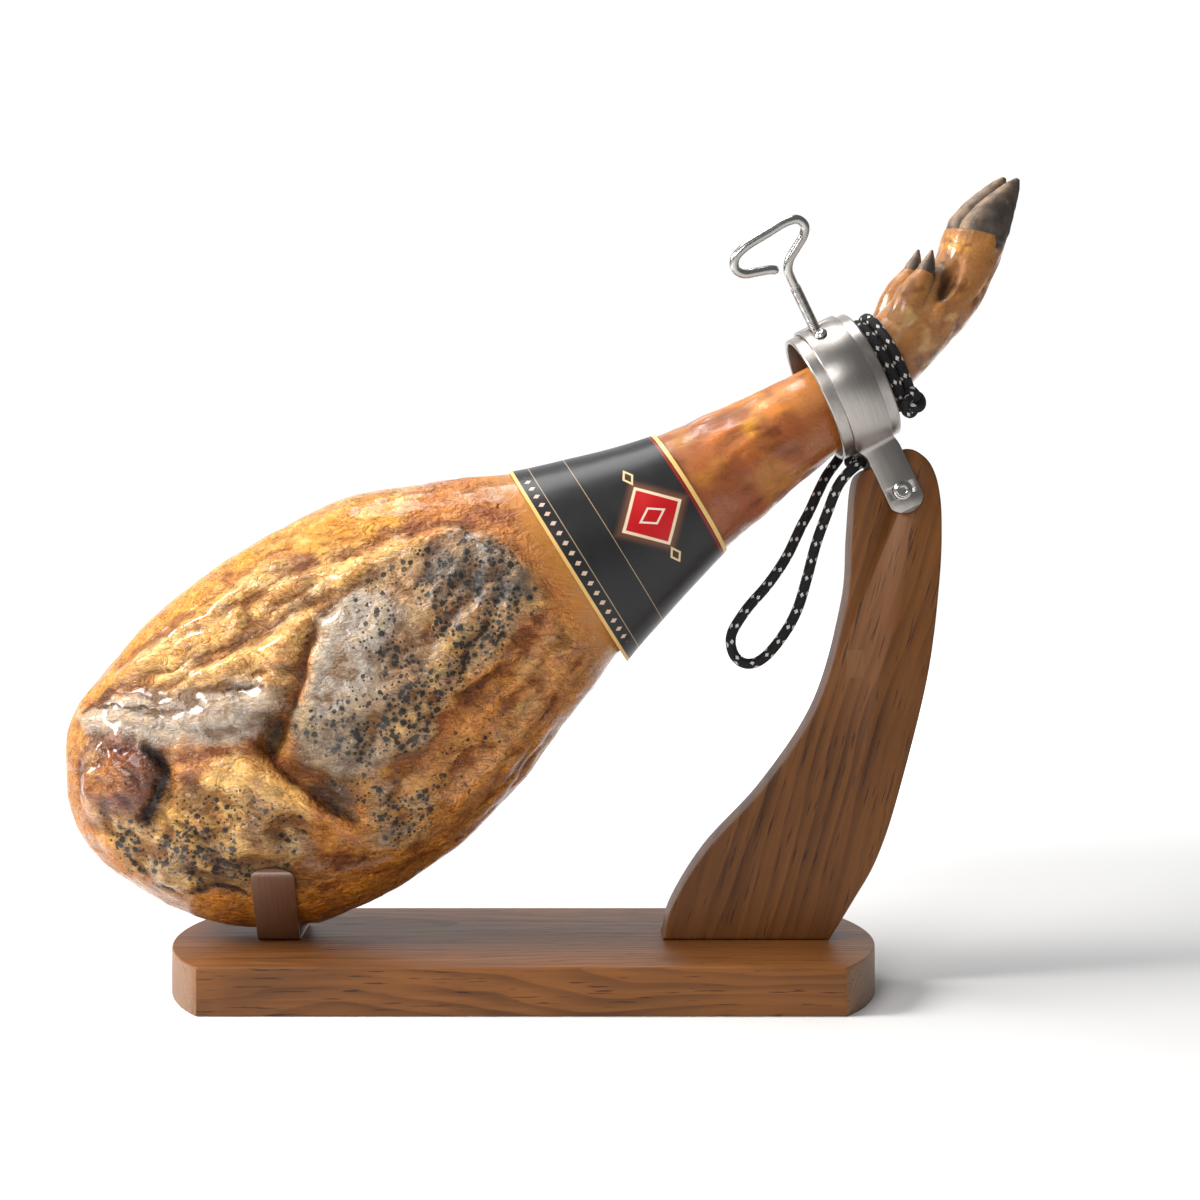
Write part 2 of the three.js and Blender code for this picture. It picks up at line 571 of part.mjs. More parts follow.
function makeNut() {
  const shape = new THREE.Shape();
  for (let i = 0; i < 6; i++) {
    const angle = radians(60 * i + nut.turn);
    const reach = nut.acrossFlats / Math.sqrt(3);
    shape[i ? 'lineTo' : 'moveTo'](reach * Math.cos(angle), reach * Math.sin(angle));
  }
  const hole = new THREE.Path();
  hole.absarc(0, 0, bolt.radius + gap, 0, 2 * Math.PI, true);
  shape.holes.push(hole);
  const [x, z] = boltPlace();
  const y = earInner + strap.thickness + gap + nut.height / 2;
  return solidOf(plateAcross(shape, nut.height, nut.chamfer, 10).translate(x, y, z));
}

function makeButton() {
  const { radius, height } = button;
  const profile = [[0, 0], [radius, 0], [radius, button.edge], [radius * 0.8, height * 0.75],
    [radius * 0.45, height], [0, height]];
  const slot = new THREE.BoxGeometry(button.slotWidth, 4 * radius, 2 * button.slotDepth);
  slot.translate(0, 0, height);
  const dome = solidOf(turned(profile, 20)).subtract(solidOf(slot));
  const place = new THREE.Matrix4().makeRotationX(radians(button.turn));
  const lifted = geometryOf(dome).translate(button.along, 0, strapOuter + gap + button.play);
  return solidOf(inWorld(lifted, headFrame, place));
}

// The clamp screw with its bent handle, and the foot that presses on the shank
function makeScrew() {
  const thread = rod(screw.threadRadius, [0, 0, -screw.tipDepth], [0, 0, screw.threadOut]);
  const points = handleLine.map(([across, out]) => [across, 0, screw.threadOut + out]);
  const handle = tubeAlong(points, screw.rodRadius, 44, 8);
  return solidOf(inWorld(geometryOf(solidOf(thread).add(solidOf(handle))), headFrame, screwFrame));
}

function makeFoot() {
  const bottom = -screw.tipDepth - gap - (foot.bossHeight - foot.socketDepth);
  const socket = screw.threadRadius + foot.socketPlay;
  const top = bottom + foot.bossHeight;
  const profile = [[0, bottom], [foot.radius - foot.edge, bottom], [foot.radius, bottom + foot.edge],
    [foot.radius, bottom + foot.thickness], [foot.bossRadius, bottom + foot.thickness],
    [foot.bossRadius, top], [socket, top], [socket, top - foot.socketDepth], [0, top - foot.socketDepth]];
  return solidOf(inWorld(turned(profile, 20), headFrame, screwFrame));
}

// The space that the foot needs in the shank's skin
function footDent() {
  const bottom = -screw.tipDepth - gap - (foot.bossHeight - foot.socketDepth) - gap;
  const dent = rod(foot.radius + gap, [0, 0, bottom], [0, 0, foot.dentOut]);
  return solidOf(inWorld(dent, headFrame, screwFrame));
}

// The ham, the horn of its claws, the paper sleeve and the rope
function makeHam() {
  const count = (hamSections.length - 1) * hamMesh.ringsEach;
  const rings = [];
  for (let r = 0; r <= count; r++) {
    const section = sectionAt(hamSections, r / hamMesh.ringsEach);
    rings.push(ringOf(section, hamMesh.sides).map((p) => {
      const outward = p.clone().sub(section.at).normalize();
      return p.addScaledVector(outward, formRise(p, outward.y));
    }));
  }
  const { lobeSides, clawSides, dewclawSides } = hamMesh;
  const bothLobes = [lobeSections, shifted(lobeSections, farLobeShift)];
  const lobes = bothLobes.map((sections) => solidOf(loft(sections, 2, lobeSides)));
  const horns = [
    [clawSections, clawSides], [shifted(clawSections, farClawShift), clawSides],
    [dewclawSections, dewclawSides], [shifted(dewclawSections, farLobeShift), dewclawSides],
  ].map(([sections, around]) => solidOf(loft(seated(sections), 1, around, gap)));
  const cuts = [...horns, footDent(), makeCradle(gap), makeStud(-1, gap), makeStud(1, gap)];
  const whole = joined([solidOf(skinOver(rings)), ...lobes]).subtract(joined(cuts));
  return whole.decompose().reduce((most, piece) => (piece.volume() > most.volume() ? piece : most));
}

function makeHorn(sections, shift, sides) {
  return solidOf(loft(shifted(sections, shift), 1, sides));
}

// Paper round the shank, a little loose under its wide end
function makeSleeve() {
  const steps = (sleeveTo - sleeveFrom) * hamMesh.ringsEach;
  const sides = hamMesh.sides;
  const rings = [[], []];
  for (let r = 0; r <= steps; r++) {
    const share = r / steps;
    const section = sectionAt(hamSections, sleeveFrom + (sleeveTo - sleeveFrom) * share);
    [sleeve.clearance, sleeve.clearance + sleeve.thickness].forEach((grow, layer) => {
      rings[layer].push(Array.from({ length: sides }, (_, i) => {
        const angle = (2 * Math.PI * i) / sides;
        const droop = sleeve.droop * (1 - share) * Math.max(0, Math.cos(angle)) ** 3;
        return rimPoint(section, angle, grow + droop);
      }));
    });
  }
  const loop = [...rings[1], ...rings[0].reverse()];
  const places = loop.flat().flatMap((p) => [p.x, p.y, p.z]);
  const corners = [];
  loop.forEach((_, r) => {
    const next = (r + 1) % loop.length;
    for (let i = 0; i < sides; i++) {
      const j = (i + 1) % sides;
      corners.push(r * sides + i, r * sides + j, next * sides + i);
      corners.push(r * sides + j, next * sides + j, next * sides + i);
    }
  });
  const geometry = new THREE.BufferGeometry();
  geometry.setAttribute('position', new THREE.Float32BufferAttribute(places, 3));
  geometry.setIndex(corners);
  return solidOf(geometry);
}

// Two turns of rope round the ankle, with the knot under its front
function makeWrap() {
  const steps = Math.round(16 * wrap.turns);
  const points = [];
  for (let i = 0; i <= steps; i++) {
    const turns = (wrap.turns * i) / steps;
    const angle = radians(wrap.start) + 2 * Math.PI * turns;
    const along = wrap.pitch * turns;
    points.push([
      wrap.from + along, (wrap.halfDepth - wrap.taper * along) * Math.sin(angle),
      wrap.rise + wrap.climb * along - (wrap.halfHeight - wrap.taper * along) * Math.cos(angle)]);
  }
  const tube = tubeAlong(points, rope.diameter / 2, ropeMesh.wrapSteps, ropeMesh.sides);
  return solidOf(inWorld(tube, headFrame)).add(makeKnot());
}

// A closed overhand knot
function makeKnot() {
  const points = [];
  const steps = 24;
  for (let i = 0; i < steps; i++) {
    const t = (2 * Math.PI * i) / steps;
    const reach = knot.size * (2 + Math.cos(3 * t));
    points.push(new THREE.Vector3(
      knot.squeeze * reach * Math.cos(2 * t), knot.size * knot.depth * Math.sin(3 * t),
      reach * Math.sin(2 * t)));
  }
  const line = new THREE.CatmullRomCurve3(points, true);
  const radius = rope.diameter / 2 - knot.tighter;
  const tube = new THREE.TubeGeometry(line, ropeMesh.knotSteps, radius, ropeMesh.knotSides, true);
  return solidOf(inWorld(tube.rotateY(radians(knot.lean)).translate(...knot.at), headFrame));
}

function makeLoop() {
  const inHead = (points) => points.map((p) => new THREE.Vector3(...p).applyMatrix4(headFrame).toArray());
  const points = [...inHead(leftStrand), ...hangingStrand, ...inHead(rightStrand)];
  return solidOf(tubeAlong(points, rope.diameter / 2, ropeMesh.loopSteps, ropeMesh.sides));
}

const none = [0, 0, 0];
const group = new THREE.Group();
group.add(
  meshOf('base_board', makeBoard(), paint.wood),
  meshOf('upright', makeUpright(), paint.wood),
  meshOf('cradle_bracket', makeCradle(), paint.cradleSteel),
  meshOf('cradle_stud_front', makeStud(-1), paint.polished),
  meshOf('cradle_stud_back', makeStud(1), paint.polished),
  meshOf('clamp_ring', makeRing(), paint.steel),
  meshOf('clamp_strap', makeStrap(), paint.steel),
  meshOf('pivot_bolt', makeBolt(), paint.polished),
  meshOf('pivot_nut', makeNut(), paint.polished),
  meshOf('strap_button', makeButton(), paint.polished),
  meshOf('clamp_screw', makeScrew(), paint.polished),
  meshOf('screw_foot', makeFoot(), paint.steel),
  meshOf('ham', makeHam(), paint.ham),
  meshOf('claw_near', makeHorn(clawSections, none, hamMesh.clawSides), paint.horn),
  meshOf('claw_far', makeHorn(clawSections, farClawShift, hamMesh.clawSides), paint.horn),
  meshOf('dewclaw_near', makeHorn(dewclawSections, none, hamMesh.dewclawSides), paint.horn),
  meshOf('dewclaw_far', makeHorn(dewclawSections, farLobeShift, hamMesh.dewclawSides), paint.horn),
  meshOf('label_sleeve', makeSleeve(), paint.label),
  meshOf('rope_wrap', makeWrap(), paint.cord),
  meshOf('rope_loop', makeLoop(), paint.cord),
);

export default group;
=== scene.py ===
"""The looks of a cured ham on its carving stand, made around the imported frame."""

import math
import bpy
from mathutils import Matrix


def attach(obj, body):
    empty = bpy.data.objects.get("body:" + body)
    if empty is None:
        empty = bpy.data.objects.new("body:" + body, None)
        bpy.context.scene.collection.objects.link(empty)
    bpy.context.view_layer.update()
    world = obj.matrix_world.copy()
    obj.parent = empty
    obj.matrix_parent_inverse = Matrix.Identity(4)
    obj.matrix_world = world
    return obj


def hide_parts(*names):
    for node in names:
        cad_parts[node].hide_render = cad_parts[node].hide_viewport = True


bl_info = {
    "name": "Cured Ham on a Carving Stand",
    "version": (1, 0, 0),
    "blender": (4, 5, 0),
    "location": "3D Viewport > Sidebar > Ham Stand",
    "description": "Makes a whole cured ham with its board, upright, cradle, clamp ring, screw and rope",
    "category": "Object",
}

import bpy
import numpy as np
from mathutils import Matrix, Vector

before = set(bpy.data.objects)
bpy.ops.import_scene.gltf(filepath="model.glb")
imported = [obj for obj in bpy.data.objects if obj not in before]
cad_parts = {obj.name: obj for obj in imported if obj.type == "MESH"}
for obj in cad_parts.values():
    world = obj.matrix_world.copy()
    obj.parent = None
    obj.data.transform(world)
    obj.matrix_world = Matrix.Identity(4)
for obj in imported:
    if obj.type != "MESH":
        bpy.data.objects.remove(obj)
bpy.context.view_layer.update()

MM = 0.001
STAND = "stand_and_ham"
TAU = 2 * math.pi
TINY = 1e-9
FAR = 1e9
POLISHED = (0.72, 0.71, 0.69)

# Sizes of the solids, in millimetres, as the part's source has them
GAP = 0.3
BOARD = {"length": 486, "front": 423, "depth": 180, "thickness": 32}
UPRIGHT_THICKNESS = 30
UPRIGHT_EDGE = [
    (96.5, 32), (103, 56), (127, 94.5), (167, 138.5), (204, 195.5), (223.5, 264.5), (227, 310), (230, 346),
    (236, 356.5), (247, 360.5), (259, 370), (267, 371.8), (275, 368.2), (282, 360.5), (287, 346),
    (289.2, 322), (287.6, 280), (279, 212.5), (258, 129), (243.5, 87), (228, 59.5), (211, 32)]
CRADLE = {"x": -169, "width": 29.4, "thickness": 2, "front": -13, "back": 31, "bend": 5, "lean": 30,
          "height": 88, "stud": 2.9}
HEAD = {"x": 222.6, "z": 415.6, "tilt": 25.5}
RING = {"inner": 43.2, "wall": 2.9, "length": 44}
STRAP = {"inner": 46.4, "outer": 48.7, "band": 27.4, "ear": 24.6, "ear_face": 15.3, "fillet": 6,
         "ear_length": 98, "end_radius": 14}
BOLT = {"drop": 82, "along": 3.5, "radius": 4, "head": 6.3, "head_height": 3.2, "socket": 2.8}
NUT = {"flats": 13, "height": 6.5}
BUTTON = {"turn": 37, "along": -3.2, "radius": 4.8, "height": 2.6}
SCREW = {"turn": 22, "lean": 4, "along": -3, "radius": 3.9, "rod": 3.25, "out": 34, "tip": 20.9,
         "pitch": 1.25}
FOOT = {"radius": 8, "thickness": 3, "boss": 6.2, "boss_height": 7, "socket": 4.5}
HANDLE = [
    (0, -2), (0, 6), (0.8, 12), (4.6, 17.6), (12.6, 22.8), (20.4, 27.8), (23.8, 33.4), (21.2, 39.6),
    (13.4, 42), (0, 41.8), (-20, 40.8), (-28.4, 37.4), (-31.2, 31.2), (-28, 25.4), (-20, 22), (-9.6, 18),
    (-5, 14.6)]

# The thread: depth of its root, the ridge's middle above the root, its half width and sides, and the
# steps of a turn
THREAD = {"depth": 0.72, "middle": 0.30, "ridge": 0.40, "sides": 4, "steps": 20}

# The rope's route: behind the ring in the ring's frame, and hanging in the world's
LEFT_STRAND = [
    (31, 39.6, 3), (27, 46.5, -3), (19, 50.4, -11), (8, 50, -21.5), (-3, 44, -32.5), (-14, 35.4, -41.4),
    (-20, 27.4, -45.2)]
HANGING = [
    (214.9, 21, 354.6), (207.8, 15, 342.4), (200.7, 10, 328.4), (194.6, 7, 317.8), (183.5, 3, 296.1),
    (170.3, 1, 277.2), (155.2, 0, 259.7), (145.2, 0, 243), (144.7, 0, 235), (147.4, 0, 227.4),
    (153.1, 0, 222.8), (160, 0, 222.4), (168.2, 0, 226.8), (181.6, -1, 243), (190.6, -2, 259.8),
    (197.4, -3, 282.2), (203.4, -5, 305.9), (210.6, -8, 327.2), (218, -10.4, 346.4)]
RIGHT_STRAND = [
    (-24.6, -10.6, -55.6), (-16.8, -8, -53.6), (-11.8, -3.2, -53.3), (-10.2, 3, -53.3), (-12.2, 10, -53),
    (-14.8, 17.6, -51.4), (-13.2, 25.6, -48.9), (-7.6, 31.6, -45.8), (1.5, 36.6, -41.8), (11, 42, -35.2),
    (20, 46.4, -26.4), (28.4, 43.4, -19.6), (33, 37.4, -15.6)]
WRAP = {"from": 26, "pitch": 7.7, "turns": 1.9, "start": 130, "rise": 1.6, "climb": 0.25, "height": 33,
        "depth": 30.2, "taper": 0.06}
KNOT = {"at": (35.2, -19, -29.6), "size": 2.75, "depth": 1.5, "lean": 20}
ROPE_SIDES = 26

# The length of a step along a rope or a rod
LINE_STEP = 0.9

# The braid: strands round the rope, and how much of a strand's turn it climbs in a millimetre
BRAID = {"strands": 8, "climb": 0.42}

# The ham's sections along its leg: distance along the axis, drop, shift away from the front, half
# width, half depth and fullness; then those of the ankle by place and heading
LEG_AXIS = {"x": 224.5, "z": 415.8, "slope": 31.9}
LEG_SECTIONS = [
    (-618, -12, 8, 10, 9.5, 2), (-614, -13, 8, 28, 22.8, 2), (-605, -12.5, 8, 47, 34.2, 2),
    (-591, -10, 8, 72, 44.6, 2), (-571, -5, 8, 91, 52.2, 2), (-547, 0.5, 8, 105.5, 57.9, 1.95),
    (-512, 3.5, 8, 119.5, 62.7, 1.95), (-470, 4, 8, 127.5, 65.5, 1.95), (-428, 3, 8, 128, 66.5, 1.95),
    (-384, 1.5, 7, 125.5, 65.5, 1.95), (-340, -2, 6, 117.5, 62.7, 1.95), (-300, -2.5, 5, 102, 58.9, 2),
    (-262, -1, 4, 87, 58, 2), (-231, 0.5, 3, 73, 54, 2), (-180, 3.5, 2, 58, 47, 2),
    (-131, 5.8, 1, 46.3, 40.5, 2), (-76, 5.5, 0, 37, 33, 2)]
ANKLE_SECTIONS = [
    ((199, 0, 394.5), 32.5, 31.5, 29, 2), ((224, 0, 409.5), 36, 30.5, 27.5, 2),
    ((245, 0, 428.5), 38, 26.5, 25, 2), ((259, 0, 442), 40, 25.5, 24, 2),
    ((275.5, 0, 459.5), 45, 25, 24, 2), ((296, 0, 480.5), 52, 22, 22, 2.1),
    ((307, 0, 498), 60, 20.6, 21, 2.2), ((315.5, 0, 521), 77, 20.5, 20.5, 2.3)]
CLAW = [
    ((315.5, -10.8, 512), 79, 15.6, 9.4, 2.4), ((317.5, -10.8, 519), 78, 16.8, 9.8, 2.4),
    ((321, -10.8, 527.5), 75, 16.4, 9.6, 2.3), ((327.5, -10.5, 538), 70, 13, 8.2, 2.2),
    ((334, -10, 547), 65, 9, 6.2, 2.1), ((339.5, -9.4, 554.5), 60, 5.2, 4, 2),
    ((343, -9, 559.5), 58, 1.6, 1.4, 2)]
FAR_CLAW = (-3.8, 21.6, 5)
LOBE = [
    ((259, -9, 448), 55, 11, 10, 2), ((262, -13, 460), 60, 12.3, 10.5, 2), ((267, -15, 473), 63, 12, 10, 2),
    ((273, -16, 485), 65, 9.6, 8.6, 2), ((277.4, -16.4, 493.5), 67, 6.6, 6.2, 2)]
DEWCLAW = [
    ((275.6, -16.4, 489), 67, 4.2, 4, 2), ((277.8, -16.5, 495), 69, 6.1, 5.4, 2),
    ((280, -16.6, 502), 74, 3.9, 3.6, 2), ((281.8, -16.6, 509), 78, 0.8, 0.8, 2)]
FAR_LOBE = (-3.4, 29, 4.8)
SLEEVE = {"first": 13, "last": 15, "clearance": 0.4, "thickness": 0.9, "droop": 8, "from": -231, "to": -131}

# The ham's larger forms: side, centre, half length, half width, turn and rise
FORMS = [
    (-1, (-273, 152), 30, 27, 70, 12), (-1, (-243, 138), 32, 7, 76, -6), (-1, (-238, 191), 62, 15, 2, 4),
    (-1, (-190, 277), 112, 13, 34, 3), (-1, (-184, 255), 92, 8, 31, -4), (-1, (-152, 291), 13, 11, 0, 5),
    (-1, (-72, 232), 96, 50, 38, 7), (-1, (-154, 217), 46, 9, 75, -5), (-1, (-167, 178), 15, 10, 80, -9),
    (-1, (-134, 137), 44, 7, -41, -6), (-1, (-150, 128), 45, 8, -41, 4), (-1, (-213, 104), 55, 26, -15, 4),
    (-1, (-48, 214), 10, 8, 0, 4), (-1, (-16, 232), 30, 8, 40, 4), (-1, (-20, 181), 76, 10, 57, -4),
    (-1, (292, 485), 13, 5, 62, -8), (1, (-200, 150), 70, 40, 30, 5), (1, (-120, 250), 90, 14, 34, -4),
    (1, (-60, 190), 80, 20, 45, -4), (1, (-255, 120), 26, 22, 50, -5)]

# Ridges and creases of the front by x and z: half width, rise, how dark the painted shade along the line is,
# and its points
CREASES = [
    (3.2, -3.2, 1.0, [(-258, 174), (-247, 165), (-242, 153), (-246, 137), (-253, 123), (-260, 119)]),
    (2.2, -1.6, 0.4, [(-296, 171), (-285, 178), (-273, 180), (-258, 174)]),
    (1.5, -1.5, 1.0, [(-302, 187), (-298, 195), (-285, 199), (-271, 195), (-257, 192), (-239, 195),
                      (-228, 199)]),
    (1.6, -1.4, 0.9, [(-211, 209), (-196, 211), (-180, 211), (-167, 216)]),
    (2.5, 1.6, 0.0, [(-239, 171), (-214, 173), (-196, 174), (-180, 171)]),
    (3.4, 2.2, 0.0, [(-285, 208), (-265, 222), (-239, 232), (-208, 248), (-180, 263), (-160, 278),
                     (-143, 286)]),
    (2.0, -2.0, 0.5, [(-273, 212), (-247, 219), (-216, 225), (-190, 237), (-170, 250), (-147, 263),
                      (-124, 278)]),
    (2.2, -2.2, 0.6, [(-239, 222), (-214, 232), (-185, 243), (-160, 258), (-134, 271), (-108, 286),
                      (-93, 296)]),
    (3.0, 1.8, 0.0, [(-226, 216), (-203, 225), (-180, 232), (-157, 243), (-139, 255)]),
    (2.6, 1.8, 0.0, [(-247, 236), (-226, 250), (-208, 262), (-185, 275), (-170, 289), (-160, 302)]),
    (3.4, 2.2, 0.0, [(-129, 273), (-106, 289), (-80, 302), (-57, 313), (-39, 315)]),
    (5.0, 2.6, 0.0, [(-115, 266), (-127, 248), (-138, 230), (-143, 212), (-146, 196)]),
    (3.4, -3.0, 0.7, [(-126, 266), (-139, 250), (-145, 235), (-149, 217), (-154, 201), (-160, 190)]),
    (4.0, 2.2, 0.0, [(-152, 250), (-162, 232), (-170, 212), (-177, 191)]),
    (3.0, -2.4, 0.9, [(-160, 190), (-170, 178), (-172, 171), (-164, 163)]),
    (3.6, 2.6, 0.0, [(-201, 172), (-185, 163), (-170, 155), (-157, 144), (-144, 135), (-129, 122),
                     (-113, 111)]),
    (2.2, -2.2, 0.8, [(-170, 167), (-158, 152), (-147, 141), (-133, 131), (-118, 122), (-109, 116)]),
    (2.8, 2.2, 0.0, [(-52, 212), (-40, 212), (-29, 221), (-18, 232), (-8, 248), (5, 253), (11, 248)]),
    (1.5, -1.4, 0.8, [(-51, 204), (-38, 208), (-25, 216), (-7, 229)]),
    (1.6, -1.0, 0.3, [(73, 225), (54, 209), (31, 185), (7, 160), (-14, 129), (-44, 103), (-77, 86),
                      (-106, 65)]),
    (1.6, -0.9, 0.3, [(22, 219), (19, 196), (4, 164), (-9, 144), (-39, 117)]),
    (2.0, -1.8, 0.9, [(-225, 73), (-203, 73), (-190, 69), (-184, 64)]),
    (3.0, 1.8, 0.0, [(-144, 72), (-121, 85), (-98, 90), (-77, 90)]),
    (2.2, 1.4, 0.0, [(-103, 102), (-86, 99), (-76, 90)]),
    (2.2, -1.4, 0.4, [(-103, 155), (-92, 163), (-71, 167), (-57, 180), (-52, 196)]),
    (2.4, 1.6, 0.0, [(-244, 144), (-234, 153), (-216, 158), (-203, 160)]),
    (2.0, 1.3, 0.0, [(-216, 145), (-201, 153), (-190, 150)]),
    (3.0, -1.6, 0.3, [(-285, 145), (-275, 150), (-265, 144), (-257, 145)]),
    (3.0, -1.5, 0.3, [(-283, 132), (-270, 137), (-260, 132)]),
    (1.6, -1.2, 0.6, [(291, 521), (297, 514), (304, 510), (311, 511)]),
    (2.2, 1.6, 0.0, [(290, 517), (296, 510), (303, 506)]),
    (1.4, -1.0, 0.4, [(297, 505), (300, 494), (304, 484)]),
]


# Lines through points
def run_of(line):
    """How far along a line each of its points is."""
    return np.concatenate([[0], np.cumsum(np.linalg.norm(np.diff(line, axis=0), axis=1))])


def full_turn(count):
    """That many even angles once round."""
    return np.arange(count) * TAU / count


def spline(points, share, centripetal=False):
    """Points of a Catmull-Rom line at shares of its length in points, ends run on straight."""
    points = np.asarray(points, float)
    whole = np.vstack([2 * points[0] - points[1], points, 2 * points[-1] - points[-2]])
    place = np.clip(np.asarray(share, float), 0, 1) * (len(points) - 1)
    first = np.minimum(place.astype(int), len(points) - 2)
    part = (place - first)[:, None]
    before, start, end, after = (whole[first + k] for k in range(4))
    if centripetal:
        early, middle, late = (
            np.maximum(np.linalg.norm(far - near, axis=1), 1e-6)[:, None] ** 0.5
            for near, far in ((before, start), (start, end), (end, after)))
        leave = (start - before) / early - (end - before) / (early + middle) + (end - start) / middle
        arrive = (end - start) / middle - (after - start) / (middle + late) + (after - end) / late
        leave, arrive = leave * middle, arrive * middle
    else:
        leave, arrive = (end - before) / 2, (after - start) / 2
    return (start + leave * part + (3 * (end - start) - 2 * leave - arrive) * part ** 2
            + (2 * (start - end) + leave + arrive) * part ** 3)


def even_line(points, spacing):
    """The centripetal line through the points, cut at even steps of about that length."""
    fine = spline(points, np.linspace(0, 1, 60 * len(points)), centripetal=True)
    return even_steps(fine, spacing)


def even_steps(fine, spacing):
    run = run_of(fine)
    count = max(4, int(round(run[-1] / spacing)))
    marks = np.linspace(0, run[-1], count + 1)
    return np.stack([np.interp(marks, run, fine[:, k]) for k in range(fine.shape[1])], axis=1)


def smooth(value, low, high):
    part = np.clip((value - low) / (high - low), 0, 1)
    return part * part * (3 - 2 * part)


# Frames
def turn_y(degrees, at=(0, 0, 0)):
    return Matrix.Translation(at) @ Matrix.Rotation(math.radians(degrees), 4, "Y")


def turn_x(degrees):
    return Matrix.Rotation(math.radians(degrees), 4, "X")


HEAD_FRAME = turn_y(-HEAD["tilt"], (HEAD["x"], 0, HEAD["z"]))


def make_screw_frame():
    lean, turn = math.radians(SCREW["lean"]), math.radians(SCREW["turn"])
    out = Vector((-math.sin(lean), -math.cos(lean) * math.sin(turn), math.cos(lean) * math.cos(turn)))
    away = (Vector((0, 1, 0)) - out * out.y).normalized()
    across = away.cross(out)
    basis = Matrix((across, away, out)).transposed().to_4x4()
    start = (SCREW["along"], -STRAP["outer"] * math.sin(turn), STRAP["outer"] * math.cos(turn))
    return HEAD_FRAME @ Matrix.Translation(start) @ basis


SCREW_FRAME = make_screw_frame()


def placed(points, matrix):
    points = np.asarray(points, float)
    whole = np.array(matrix)
    return points @ whole[:3, :3].T + whole[:3, 3]


# Noise that is the same each run: large odd numbers mix the bits of a cell's place and the seed
CELL_FACTORS = (73856093, 19349663, 83492791)
SEED_FACTOR, SEED_START = 40503, 977
MIXERS = ((15, 0x2C1B3C6D), (12, 0x297A2D39))
ALL_BITS = 0xFFFFFFFF


def scatter(column, row, layer, seed):
    """A number from 0 to 1 for each cell of a grid."""
    mixed = seed * SEED_FACTOR + SEED_START
    for place, factor in zip((column, row, layer), CELL_FACTORS):
        mixed = mixed ^ (place * factor)
    mixed = mixed & ALL_BITS
    for shift, factor in MIXERS:
        mixed = (((mixed >> shift) ^ mixed) * factor) & ALL_BITS
    return (((mixed >> 15) ^ mixed) & ALL_BITS) / ALL_BITS


def rough(points, size, seed, octaves=1):
    """Value noise between -1 and 1 with features of that size, in the points' unit."""
    total, weight = 0, 0
    for octave in range(octaves):
        scaled = points / size * 2.0 ** octave
        low = np.floor(scaled).astype(np.int64)
        part = scaled - low
        part = part * part * (3 - 2 * part)
        value = 0
        for corner in range(8):
            step = [(corner >> k) & 1 for k in range(3)]
            share = np.prod([part[:, k] if step[k] else 1 - part[:, k] for k in range(3)], axis=0)
            value = value + share * scatter(*(low[:, k] + step[k] for k in range(3)), seed + octave)
        total = total + (2 * value - 1) * 0.5 ** octave
        weight += 0.5 ** octave
    return total / weight * 1.6


# Shapes
class Shape:
    """Points in millimetres, faces as lists of point numbers, and a UV pair for each face corner."""

    def __init__(self, points, faces, corners):
        self.points = np.asarray(points, float)
        self.faces = faces
        self.corners = corners
        if self.volume() < 0:
            self.faces = [face[::-1] for face in faces]
            self.corners = [corner[::-1] for corner in corners]

    def volume(self):
        total = 0.0
        for size in {len(face) for face in self.faces}:
            faces = np.array([face for face in self.faces if len(face) == size])
            first = self.points[faces[:, 0]]
            for k in range(1, size - 1):
                cross = np.cross(self.points[faces[:, k]], self.points[faces[:, k + 1]])
                total += float(np.einsum("ij,ij->", first, cross))
        return total

    def moved(self, matrix):
        return Shape(placed(self.points, matrix), self.faces, self.corners)


def skin(rings, around=None, along=None, loop=False, flat_ends=False):
    """Rings of points skinned into a closed shape; loop joins the last ring to the first."""
    rings = np.asarray(rings, float)
    rows, count = rings.shape[:2]
    around = np.linspace(0, 1, count + 1) if around is None else np.asarray(around, float)
    if around.ndim == 1:
        around = np.broadcast_to(around, (rows + 1, count + 1))
    else:
        around = np.vstack([around, around[:1]])
    along = np.arange(rows + 1, dtype=float) if along is None else np.append(along, 2 * along[-1] - along[-2])
    last = rows if loop else rows - 1
    row = np.arange(last)[:, None]
    column = np.arange(count)[None, :]
    after = (column + 1) % count
    below = (row + 1) % rows
    faces = np.stack([row * count + column, row * count + after,
                      below * count + after, below * count + column], -1).reshape(-1, 4).tolist()
    column_uv = np.broadcast_to(column, (last, count))
    row_uv = np.broadcast_to(row, (last, count))
    corners = np.stack([
        np.stack([around[row_uv + down, column_uv + right], along[row_uv + down]], -1)
        for down, right in ((0, 0), (0, 1), (1, 1), (1, 0))], -2)
    corners = corners.reshape(-1, 4, 2).tolist()
    points = rings.reshape(-1, 3)
    if not loop:
        for ring_row in (0, rows - 1):
            start = ring_row * count
            if flat_ends:
                order = list(range(start, start + count))
                order = order if ring_row else order[::-1]
                faces.append(order)
                corners.append([rings[ring_row, k % count, [0, 2]].tolist() for k in order])
                continue
            hub = len(points)
            points = np.vstack([points, rings[ring_row].mean(axis=0)])
            for k in range(count):
                pair = [start + k, start + (k + 1) % count]
                places = [[around[ring_row, k], along[ring_row]], [around[ring_row, k + 1], along[ring_row]]]
                if ring_row == 0:
                    pair, places = pair[::-1], places[::-1]
                faces.append([hub] + pair)
                corners.append([[(places[0][0] + places[1][0]) / 2, along[ring_row]]] + places)
    return Shape(points, faces, corners)


def joined(shapes):
    points, faces, corners, start = [], [], [], 0
    for shape in shapes:
        points.append(shape.points)
        faces += [[start + k for k in face] for face in shape.faces]
        corners += shape.corners
        start += len(shape.points)
    whole = Shape.__new__(Shape)
    whole.points, whole.faces, whole.corners = np.vstack(points), faces, corners
    return whole


